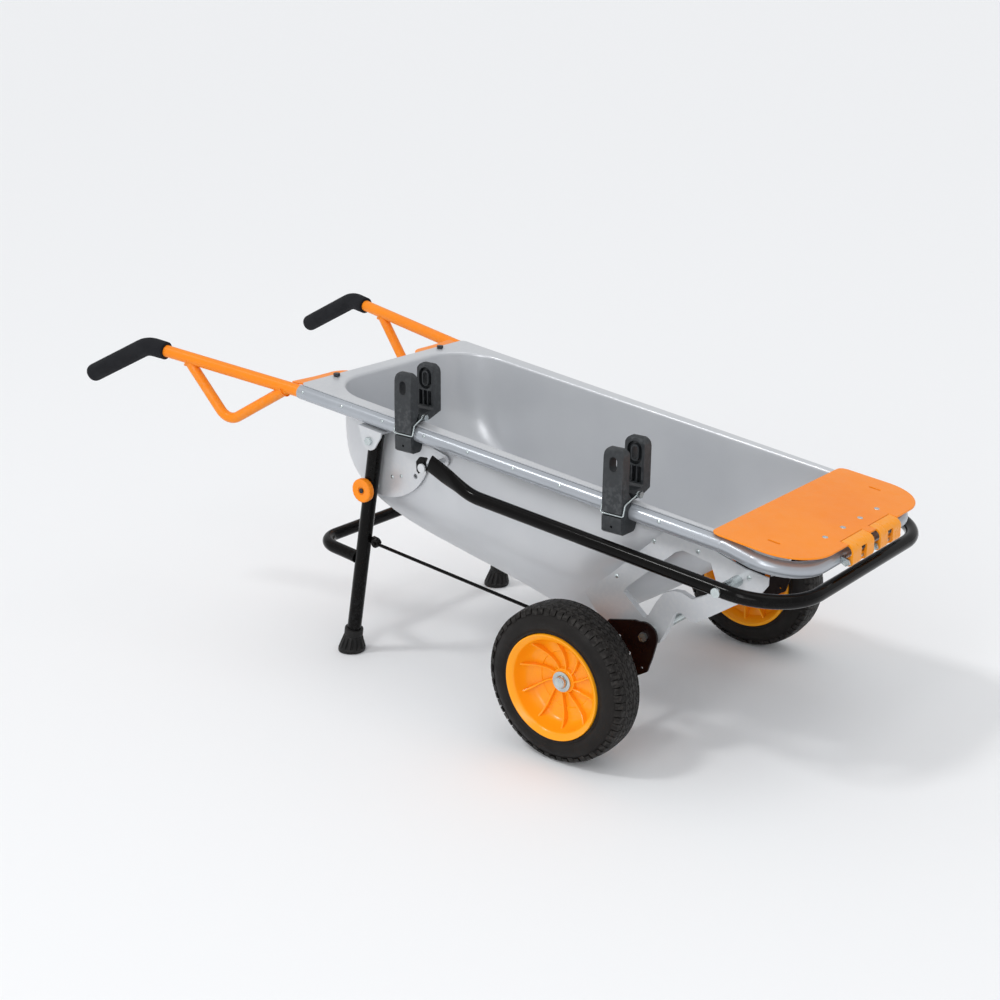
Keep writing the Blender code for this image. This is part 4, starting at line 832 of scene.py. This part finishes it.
def tread_lug(bm, centre, edge, k):
    """One lug on the tyre's shoulder; every second one reaches further down and is wider."""
    angle = TAU * (k + 0.25) / TREAD_BLOCKS
    span = TAU / TREAD_BLOCKS * (0.86 if k % 2 else 0.8)
    deep = 0.115 if k % 2 else 0.1175
    section = ((0.119, 0.0212), (0.1253, 0.0224), (0.124, 0.0256), (deep + 0.004, 0.0281), (deep, 0.0296),
               (deep, 0.027))
    rings = [[turned(bm, centre, r, edge * v, angle + span * u) for u in (-0.5, 0.5)] for r, v in section]
    for first, second in zip(rings, rings[1:] + rings[:1]):
        bm.faces.new((first[0], first[1], second[1], second[0]))
    bm.faces.new([ring[0] for ring in rings])
    bm.faces.new([ring[1] for ring in rings])


def make_wheels():
    for name, side in SIDES:
        centre = (at(AXLE_S), side * WHEEL_Y, WHEEL_R)
        profile = [(r, -v) for r, v in reversed(TYRE_HALF)] + TYRE_HALF[1:]
        tyre = revolve(profile, *centre, 120)
        for low, high, shift, skew in TREAD_ROWS:
            for k in range(TREAD_BLOCKS):
                angle = TAU * (k + shift) / TREAD_BLOCKS
                tread_block(tyre, centre, angle, TAU / TREAD_BLOCKS * TREAD_FILL, low, high, skew)
        for edge in (-1.0, 1.0):
            for k in range(TREAD_BLOCKS):
                tread_lug(tyre, centre, edge, k)
        piece(f"{name}_tyre_tread", tyre, "tyre_rubber", f"{name}_wheel", [f"{name}_tyre"])
        make_rim(name, side, centre)


BORE_R = 0.0084
HUB_INNER = -WHEEL_Y + 0.2205
# radius and distance outward from the middle plane, round the rim's section
RIM_SECTION = (
    (BORE_R, 0.0035), (0.015, 0.0035), (0.0172, 0.003), (0.018, 0.0015), (0.019, 0.0015), (0.02, 0.0008),
    (0.0206, -0.002), (0.0215, -0.005), (0.024, -0.0066), (0.03, -0.007), (0.0455, -0.0064),
    (0.0468, -0.0046), (0.056, -0.0036), (0.062, -0.0018), (0.0665, 0.002), (0.07, 0.0075), (0.0722, 0.0135),
    (0.0738, 0.02), (0.0748, 0.026), (0.0752, 0.0282), (0.0762, 0.0298), (0.079, 0.0318), (0.0815, 0.0336),
    (0.0832, 0.035), (0.0845, 0.0356), (0.0855, 0.0354), (0.086, 0.0345), (0.086, 0.0286), (0.078, 0.0276),
    (0.078, -0.0276), (0.086, -0.0286), (0.086, -0.0345), (0.085, -0.0356), (0.081, -0.0356),
    (0.08, -0.0346), (0.075, -0.026), (0.0705, -0.0165), (0.06, -0.0115), (0.03, -0.0115),
    (0.0215, -0.0135), (0.019, -0.017), (0.0172, HUB_INNER), (BORE_R, HUB_INNER))
OUTER_RIBS = 10
INNER_RIBS = 12
RIB_START_R = 0.0195
RIB_END_R = 0.0738
RIB_ROOT = -0.009
RIB_BEND = 0.3
DOME_PROFILE = ((0.0001, 0.0058), (0.003, 0.0057), (0.0058, 0.0052), (0.008, 0.004), (0.009, 0.0022),
    (0.0094, 0.0006), (0.0094, 0.0002))
DOME_SCALE = 1.12


def make_rim(name, side, centre):
    rim = revolve([(r, side * v) for r, v in RIM_SECTION], *centre, 96)
    for k in range(OUTER_RIBS):
        start = TAU * k / OUTER_RIBS + 0.15
        rings = []
        for t in range(9):
            u = t / 8.0
            r = RIB_START_R + (RIB_END_R - RIB_START_R) * u
            a = start + RIB_BEND * sin(pi * 0.5 * u)
            top = 0.0008 + 0.017 * u ** 2.2 - 0.002 * sin(pi * u)
            half_width = (0.00135 + 0.0004 * u) / r
            section = ((-1.3, RIB_ROOT), (-0.9, top - 0.0006), (-0.5, top), (0.5, top), (0.9, top - 0.0006),
                       (1.3, RIB_ROOT))
            rings.append([turned(rim, centre, r, side * v, a + half_width * w) for w, v in section])
        skin(rim, rings)
    for k in range(INNER_RIBS):
        a = TAU * k / INNER_RIBS
        rings = []
        for r, deep in ((0.0175, -0.034), (0.04, -0.032), (0.06, -0.029), (0.0755, -0.0275)):
            width = 0.0013 / r
            section = ((-1.0, -0.01), (-1.0, deep), (1.0, deep), (1.0, -0.01))
            rings.append([turned(rim, centre, r, side * v, a + width * w) for w, v in section])
        skin(rim, rings)
    piece(f"{name}_wheel_rim", rim, "wheel_plastic", f"{name}_wheel", [f"{name}_rim"])
    x, _, z = centre
    cap = revolve([(r * DOME_SCALE, side * v) for r, v in DOME_PROFILE], x, side * (WHEEL_Y + 0.0065), z, 32,
        closed=False)
    piece(f"{name}_axle_dome", cap, "zinc", "axle_carrier")


# ---- extension arm

def arm_z(s):
    return ARM_BOLT_Z - ARM_FALL * (s - ARM_BOLT_S)


def make_arm():
    """The arm's tube, pressed flat towards its rear ends."""
    def one_side(side):
        return [(at(0.316), side * ARM_Y, 0.404), (at(0.405), side * ARM_Y, arm_z(0.405)),
                (at(0.976), side * ARM_Y, arm_z(0.976))]

    path = mirrored(one_side, [0.0, 0.1, 0.098], 16)
    for end in (0, -1):
        first, second = (path[0], path[1]) if end == 0 else (path[-1], path[-2])
        extra = [first.lerp(second, t) for t in (0.02, 0.2, 0.4, 0.6, 0.8)]
        path = [path[0]] + extra + path[1:] if end == 0 else path[:-1] + extra[::-1] + [path[-1]]
    oval = []
    for point in path:
        flat = min(max((FLAT_START_S - (point.x - RIM_REAR_X)) / FLAT_REACH, 0.0), 1.0)
        flat = flat * flat * (3.0 - 2.0 * flat)
        oval.append((1.0 - 0.62 * flat, 1.0 + 0.42 * flat))
    tube = sweep(path, ARM_R, 28, oval=oval)
    piece("arm_tube", tube, "black_paint", "extension_arm", ["extension_arm"], bevel=0.0012)


# ---- toe plate

TOE_LIFT = 0.0005
TOE_THICK = 0.003
TOE_HALF = 0.204
TOE_CORNER = 0.075
TOE_FRONT_S = 0.986
TOE_CORNER_S = TOE_FRONT_S - TOE_CORNER
HINGE_PIN_S = 0.988
TOE_REAR = ((0.825, 0.014), (0.8262, 0.0075), (0.8305, 0.0025), (0.839, 0.0))  # s, distance in from the side


def make_toe_plate():
    outline = [(s, -TOE_HALF + inward) for s, inward in TOE_REAR]
    outline += arc(TOE_CORNER_S, -TOE_HALF + TOE_CORNER, TOE_CORNER, -90.0, 0.0, 20)
    for y in (-0.045, 0.045):
        for edge_s, offset in ((TOE_FRONT_S, -1.0), (0.972, -1.0), (0.972, 1.0), (TOE_FRONT_S, 1.0)):
            outline.append((edge_s, y + offset * 0.035))
    outline += arc(TOE_CORNER_S, TOE_HALF - TOE_CORNER, TOE_CORNER, 0.0, 90.0, 20)
    outline += [(s, TOE_HALF - inward) for s, inward in reversed(TOE_REAR)]
    bm = bmesh.new()
    skin(bm, [[bm.verts.new((at(s), y, rim_z(s) + TOE_LIFT + rise)) for s, y in outline] for rise in (0.0, TOE_THICK)])
    toe = piece("toe_plate_sheet", bm, "orange_paint", "toe_plate", ["toe_plate"], bevel=0.0007)
    slots = []
    for _, side in SIDES:
        slot = bmesh.new()
        low = []
        for s, turn in ((0.9, 90.0), (0.916, -90.0)):
            for x, y in arc(at(s), side * 0.161, 0.0024, turn, turn + 180.0, 6):
                low.append(slot.verts.new((x, y, rim_z(s) - 0.01)))
        high = [slot.verts.new((v.co.x, v.co.y, v.co.z + 0.03)) for v in low]
        skin(slot, [low, high])
        slots.append(slot)
    cut(toe, *slots)
    heads = bmesh.new()
    normal = (RIM_FALL, 0.0, 1.0)
    s = 0.95
    for y in (-0.084, -0.028, 0.028, 0.084):
        merge(heads, dome((at(s), y, rim_z(s) + TOE_LIFT + TOE_THICK), normal, 0.0046, 0.0012))
    piece("toe_rivets", heads, "zinc", "toe_plate")


def make_hinges():
    """Straps that run off the toe plate and curl down round the hinge pins."""
    pin_x = at(HINGE_PIN_S)
    pin_z = rim_z(HINGE_PIN_S) - 0.024
    strap_s = 0.9735
    top = rim_z(strap_s) + 0.0035
    turn_x, turn_z = pin_x - 0.0066, pin_z + 0.0142
    outline = [(at(strap_s), top)] + arc(turn_x, turn_z, 0.0132, 88.0, -12.0, 14)
    outline += arc(pin_x, pin_z, 0.0068, 12.0, -290.0, 26)
    outline += arc(turn_x, turn_z, 0.0102, -38.0, 88.0, 14) + [(at(strap_s), top - 0.003)]
    for name, side in SIDES:
        strap = plate(outline, *low_high(side, 0.011, 0.079))
        hinge = piece(f"{name}_hinge_strap", strap, "hinge_orange", "toe_plate", [f"{name}_toe_hinge"], bevel=0.0005)
        window = around(pin_x, pin_z, (0.001, -0.012), (0.022, -0.012), (0.022, 0.019), (0.004, 0.019), (0.001, 0.012))
        cut(hinge, plate(soften(window, 0.004), *low_high(side, 0.035, 0.052)))


def make_carrier_sheets():
    """The pressed plates that carry the axle, with their lightening holes."""
    px, pz = at(CARRIER_PIVOT_S), CARRIER_PIVOT_Z
    ax, az = at(AXLE_S), WHEEL_R
    outline = around(px, pz, (-0.07, 0.006), (-0.066, 0.011), (-0.0182, 0.0225))
    outline += arc(px, pz, 0.0235, 110.0, -12.0, 14)
    outline += around(px, pz, (0.0213, -0.0125), (0.0158, -0.0335), (0.0078, -0.0572), (-0.0102, -0.0685))
    outline += arc(ax, az, 0.021, -70.0, -200.0, 16)
    outline += arc(at(0.645), 0.1735, 0.012, 170.0, 100.0, 8)
    for name, side in SIDES:
        sheet = piece(f"{name}_carrier_sheet", plate(outline, *low_high(side, 0.2125, 0.2165)), "carrier_paint",
            "axle_carrier", [f"{name}_carrier_plate"], bevel=0.0005)
        wide = low_high(side, 0.2, 0.23)
        upper = around(px, pz, (-0.056, -0.02), (-0.043, -0.019), (-0.042, -0.008), (-0.055, -0.01))
        lower = around(px, pz, (-0.036, -0.05), (-0.024, -0.048), (-0.023, -0.031), (-0.034, -0.034))
        cut(sheet, *(plate(soften(hole, 0.004), *wide) for hole in (upper, lower)),
            rod_y(px - 0.002, pz - 0.053, *wide, 0.0022, 16))


# ---- clips

def clip_hole(x, z, wide, tall, y_low, y_high, steps=10):
    """An upright slot with round ends, as a cutter along Y."""
    outline = arc(x, z + tall - wide, wide, 0.0, 180.0, steps) + arc(x, z - tall + wide, wide, 180.0, 360.0, steps)
    return plate(outline, y_low, y_high)


def corner_cutters(low_x, high_x, top, y_low, y_high, radius=0.012):
    """Cutters that round a jaw's two top corners."""
    made = []
    for end, sign in ((low_x, 1.0), (high_x, -1.0)):
        keep = [(end - sign * 0.002, top + 0.01), (end - sign * 0.002, top - radius), (end, top - radius)]
        for degrees in range(10, 91, 10):
            a = radians(degrees)
            keep.append((end + sign * radius * (1.0 - cos(a)), top - radius + radius * sin(a)))
        keep.append((end + sign * radius, top + 0.01))
        made.append(plate(keep, y_low, y_high))
    return made


def make_clip(name, s):
    x = at(s)
    rail_y = rim_half(s)
    rz = rail_z(s)
    rim = rim_z(s)
    low_x, high_x = x - CLIP_HALF, x + CLIP_HALF
    top = rim + CLIP_HEIGHT
    face = CLIP_FACE_Y
    jaw_in = face - CLIP_JAW_THICK
    wrap_y = rail_y - RAIL_R
    sole = rz - RAIL_R - CLIP_WRAP
    profile = [
        (face - 0.0005, sole + 0.004), (face, rz - 0.012), (face, rim + 0.03), (face - 0.0008, top - 0.016),
        (face - 0.0035, top - 0.005), (face - 0.008, top), (face - 0.014, top - 0.001), (jaw_in + 0.001, top - 0.008),
        (jaw_in, top - 0.02), (jaw_in, rim + CLIP_FLOOR), (rail_y + 0.004, rim + 0.006), (rail_y + 0.004, rz),
        (wrap_y + 0.003, rz - RAIL_R), (wrap_y + 0.001, rz - RAIL_R - 0.006), (wrap_y + 0.004, sole + 0.004),
        (wrap_y + 0.008, sole), (face - 0.006, sole)]
    jaw = piece(f"{name}_jaw_outer", slab(profile, low_x, high_x), "clip_plastic", f"{name}_clip_jaw",
        [f"{name}_clip_outer_jaw"], bevel=0.0016, segments=3)
    way = Vector((1.0, RIM_TAPER, -RIM_FALL)).normalized()
    centre = Vector((x, -rail_y, rz))
    groove_z = rz + BAIL_HOOK_Z
    groove = slab([(face + 0.001, groove_z - 0.0032), (face - BAIL_GROOVE, groove_z - 0.0032),
         (face - BAIL_GROOVE, groove_z + 0.0028), (face + 0.001, groove_z + 0.0028)],
        low_x - 0.01, high_x + 0.01)
    corners = corner_cutters(low_x, high_x, top, -0.26, -0.19)
    cut(jaw, sweep([centre - way * 0.05, centre + way * 0.05], RAIL_R + 0.0005, 32), groove,
        clip_hole(x, top - 0.026, 0.0068, 0.0115, -0.26, -0.15),
        rod_y(x, rz - RAIL_R - 0.009, -0.26, -(face - 0.006), 0.0022, 16), *corners)

    inner_face = jaw_in - CLIP_SLOT
    back = inner_face - CLIP_INNER_THICK
    flange_y = min(rail_y, jaw_in) - 0.001
    floor = rim + CLIP_FLOOR
    base = rim + RIM_FALL * CLIP_HALF + 0.0008
    inner = [
        (flange_y, base), (flange_y, floor - 0.004), (flange_y - 0.004, floor), (inner_face + 0.003, floor),
        (inner_face, floor + 0.004), (inner_face, top - 0.004), (inner_face - 0.003, top + 0.002),
        (inner_face - 0.009, top + 0.0055), (inner_face - 0.014, top + 0.0045), (back + 0.002, top - 0.002),
        (back, top - 0.01), (back, floor - 0.004), (mouth_half(s) - 0.003, base)]
    body = piece(f"{name}_jaw_inner", slab(inner, low_x, high_x), "clip_plastic", "chassis",
        [f"{name}_clip_inner_jaw"], bevel=0.0012)
    bolt_y = flange_y - 0.01
    bolt_z = rim + 0.0095
    cuts = [sweep([(low_x - 0.01, -bolt_y, bolt_z), (high_x + 0.01, -bolt_y, bolt_z)], 0.0028, 16)]
    hole_z = top - 0.02
    cuts.append(clip_hole(x, hole_z, 0.005, 0.011, -0.21, -0.12))
    pocket_in = -(inner_face + 0.004)
    pocket_out = -(inner_face - 0.007)
    ring = clip_hole(x, hole_z, 0.0135, 0.0185, pocket_in, pocket_out)
    ring_keep = clip_hole(x, hole_z, 0.0072, 0.0132, pocket_in - 0.01, pocket_out + 0.01)
    corners = corner_cutters(low_x, high_x, top + 0.0055, -0.21, -0.12)
    for k in range(3):
        left = x - 0.0135 + k * 0.0096
        low_z = floor + 0.006
        high_z = hole_z - 0.0205
        cuts.append(plate([(left, low_z), (left + 0.0076, low_z), (left + 0.0076, high_z), (left, high_z)],
            pocket_in, pocket_out))
    cut(body, *cuts, *corners)
    cut_ring(body, ring, ring_keep)
    make_coil(name, -bolt_y, bolt_z, low_x, high_x)
    make_bail(name, -bolt_y, bolt_z, rz, low_x - BAIL_SIDE, high_x + BAIL_SIDE)


def cut_ring(made, ring, keep):
    """Cut a ring-shaped pocket: the ring shape without the part that stays."""
    holders = [add_object(name, mesh_of(name, bm)) for name, bm in (("ring_whole", ring), ("ring_keep", keep))]
    subtract(*holders)
    result = bmesh.new()
    result.from_mesh(evaluated(holders[0]))
    for holder in holders:
        bpy.data.objects.remove(holder)
    cut(made, result)


def make_coil(name, eye_y, eye_z, low_x, high_x):
    """Turns of spring wire round the bolt at each end."""
    bm = bmesh.new()
    for end, way in ((low_x - 0.0003, -1.0), (high_x + 0.0003, 1.0)):
        path = []
        for k in range(COIL_STEPS + 1):
            t = k / COIL_STEPS
            a = TAU * COIL_TURNS * t + 0.6
            path.append((end + way * (0.0009 + 0.0007 * t), eye_y + COIL_R * cos(a), eye_z + COIL_R * sin(a)))
        merge(bm, sweep(path, 0.0008, 8))
    piece(f"{name}_spring_coils", bm, "zinc", "chassis")


def make_bail(name, eye_y, eye_z, rz, low_x, high_x):
    """The wire that runs from one coil over the rail, round the outer jaw and back to the other coil."""
    out_y = -(CLIP_FACE_Y - BAIL_R + 0.0004)
    over = (out_y + 0.005, rz + RAIL_R + 0.003)
    half = [(eye_y - 0.0045, eye_z), over, (out_y, rz + BAIL_HOOK_Z)]
    line = [(low_x, *p) for p in half] + [(high_x, *p) for p in reversed(half)]
    wire = sweep(rounded(line, [0, 0.004, 0.003, 0.003, 0.004, 0], 8), BAIL_R, 16)
    for end in (low_x, high_x):
        eye = [(end, eye_y + COIL_R * cos(TAU * k / 24), eye_z + COIL_R * sin(TAU * k / 24))
               for k in range(25)]
        merge(wire, sweep(eye, 0.0011, 10))
    piece(f"{name}_bail_wire", wire, "zinc", f"{name}_clip_bail", [f"{name}_clip_bail"])


# ---- plates, rivets and CAD nodes

def make_rivets():
    heads = bmesh.new()
    for _, side in SIDES:
        out = (0.0, side, 0.0)
        for s, z in ((0.187, 0.3416), (0.208, 0.3467)):
            merge(heads, dome((at(s), side * 0.1915, z), out, 0.0034, 0.0014))
        for s, z in ((0.722, 0.35), (0.6445 + 0.012, 0.2775), (0.8, 0.352), (0.888, 0.332)):
            merge(heads, dome((at(s), side * 0.1925, z), out, 0.0038, 0.0016))
    piece("plate_rivets", heads, "zinc", "chassis")


# (s, z) along each flange of a side plate
WINDOW_RUN = ((0.6696, 0.2541), (0.7075, 0.2225), (0.7145, 0.223), (0.7305, 0.2536), (0.7424, 0.2705),
    (0.7598, 0.279), (0.7747, 0.28), (0.7937, 0.2736), (0.8186, 0.2869))
ARCH_RUN = ((0.722, 0.18), (0.7385, 0.187), (0.755, 0.2185), (0.761, 0.238), (0.768, 0.246), (0.776, 0.2465),
    (0.792, 0.2377))
FLANGE_THICK = 0.0018
FLANGE_NEAR_Y = 0.1897
FLANGE_FAR_Y = 0.1815


def make_flanges():
    """Turned-in edges of the side plates, along the window's rear arm and the arch below it."""
    for name, side in SIDES:
        bm = bmesh.new()
        for run, inward in ((WINDOW_RUN, 1.0), (ARCH_RUN, -1.0)):
            pts = [Vector((at(s), z)) for s, z in run]
            strip = bmesh.new()
            rows = []
            for i, p in enumerate(pts):
                ahead = pts[min(i + 1, len(pts) - 1)] - pts[max(i - 1, 0)]
                q = p + Vector((-ahead.y, ahead.x)).normalized() * -FLANGE_THICK * inward
                section = ((p, FLANGE_NEAR_Y), (q, FLANGE_NEAR_Y), (q, FLANGE_FAR_Y), (p, FLANGE_FAR_Y))
                rows.append([strip.verts.new((r.x, side * y, r.y)) for r, y in section])
            skin(strip, rows)
            merge(bm, strip)
        piece(f"{name}_plate_flanges", bm, "silver_paint", "chassis")


# material and bevel width of the CAD nodes that stay
SIDE_LOOKS = {
    **dict.fromkeys(("leg_bracket", "sector_plate", "side_plate"), ("silver_paint", 0.0005)),
    **dict.fromkeys(("leg_pivot_bolt", "carrier_bolt", "arm_bolt", "toe_pin", "axle_washer"), ("zinc", 0.0005)),
    "tab_bolt": ("dark_bolt", 0.0005), "hook_plate": ("black_paint", 0.0007), "link_rod": ("black_paint", 0.0)}
OTHER_LOOKS = {"axle": ("zinc", 0.0006), "rear_clip_bolt": ("zinc", 0.0005), "front_clip_bolt": ("zinc", 0.0005)}


def dress_cad():
    """Materials and small bevels on the CAD nodes that stay."""
    looks = {f"{name}_{node}": look for name, _ in SIDES for node, look in SIDE_LOOKS.items()}
    for node, (look, width) in {**looks, **OTHER_LOOKS}.items():
        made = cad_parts[node]
        for held in made.material_slots:
            held.material = MATS[look]
        if width:
            add_bevel(made, width, 2, 40.0)


# ---- studio

CAMERA_AZIMUTH, CAMERA_ELEVATION, CAMERA_ROLL = (radians(v) for v in (38.56, 18.68, 0.44))
CAMERA_AT = (1.7138, -2.1226, 1.1856)
CAMERA_LENS = 1.608  # focal length as a share of the sensor's width
SENSOR = 36.0
FLOOR_SIZE = 150.0
FLOOR_Z = -0.0005
FLOOR_COLOUR = (0.872, 0.878, 0.888, 1.0)
SKY_COLOUR = (0.965, 0.975, 0.99, 1.0)
SKY_STRENGTH = 0.72
# direction, strength and width in degrees
SUNS = {"key": ((-0.55, -0.75, 1.35), 0.62, 9.0), "top": ((0.2, 0.15, 1.0), 0.3, 40.0),
        "front": ((0.3, -1.0, 0.42), 0.3, 24.0)}
STRIP_SIZE = (0.7, 3.2)
STRIP_WATTS = 30.0
STRIP_AT = (0.9, -3.9, 2.6)
STRIP_TARGET = (-0.1, 0.15, 0.35)


def make_camera():
    azimuth, elevation, roll = CAMERA_AZIMUTH, CAMERA_ELEVATION, CAMERA_ROLL
    back = Vector((sin(azimuth) * cos(elevation), -cos(azimuth) * cos(elevation),
        sin(elevation)))
    right = Vector((cos(azimuth), sin(azimuth), 0.0))
    up = back.cross(right)
    right_rolled = right * cos(roll) + up * sin(roll)
    up_rolled = up * cos(roll) - right * sin(roll)
    lens = bpy.data.cameras.new("camera")
    lens.sensor_width = SENSOR
    lens.lens = SENSOR * CAMERA_LENS
    lens.clip_end = 400.0
    camera = add_object("camera", lens)
    turn = Matrix((right_rolled, up_rolled, back)).transposed().to_4x4()
    camera.matrix_world = Matrix.Translation(CAMERA_AT) @ turn
    bpy.context.scene.camera = camera
    bpy.context.scene.view_settings.view_transform = "Standard"


def make_floor():
    bm = bmesh.new()
    size = FLOOR_SIZE
    bm.faces.new([bm.verts.new((x, y, FLOOR_Z))
        for x, y in ((-size, -size), (size, -size), (size, size), (-size, size))])
    mesh = bpy.data.meshes.new("floor")
    bm.to_mesh(mesh)
    bm.free()
    floor = add_object("floor", mesh)
    look = bpy.data.materials.new("floor")
    look.use_nodes = True
    shader = look.node_tree.nodes["Principled BSDF"]
    shader.inputs["Base Color"].default_value = FLOOR_COLOUR
    shader.inputs["Roughness"].default_value = 0.9
    shader.inputs["Specular IOR Level"].default_value = 0.1
    mesh.materials.append(look)


def aim(lamp, direction):
    lamp.rotation_euler = direction.to_track_quat("Z", "Y").to_euler()


def make_lights():
    world = bpy.data.worlds.new("studio")
    bpy.context.scene.world = world
    world.use_nodes = True
    sky = world.node_tree.nodes["Background"]
    sky.inputs["Color"].default_value = SKY_COLOUR
    sky.inputs["Strength"].default_value = SKY_STRENGTH
    for name, (direction, strength, angle) in SUNS.items():
        light = bpy.data.lights.new(name, "SUN")
        light.energy = strength
        light.angle = radians(angle)
        aim(add_object(name, light), Vector(direction))
    strip = bpy.data.lights.new("strip", "AREA")
    strip.shape = "RECTANGLE"
    strip.size, strip.size_y = STRIP_SIZE
    strip.energy = STRIP_WATTS
    lamp = add_object("strip", strip)
    lamp.location = STRIP_AT
    aim(lamp, Vector(STRIP_AT) - Vector(STRIP_TARGET))


make_camera()
make_floor()
make_lights()
make_tub()
make_rails()
make_handles()
make_legs()
make_wheels()
make_arm()
make_toe_plate()
make_hinges()
make_carrier_sheets()
for clip_name, clip_s in zip(("rear", "front"), CLIP_S):
    make_clip(clip_name, clip_s)
make_rivets()
make_flanges()
dress_cad()
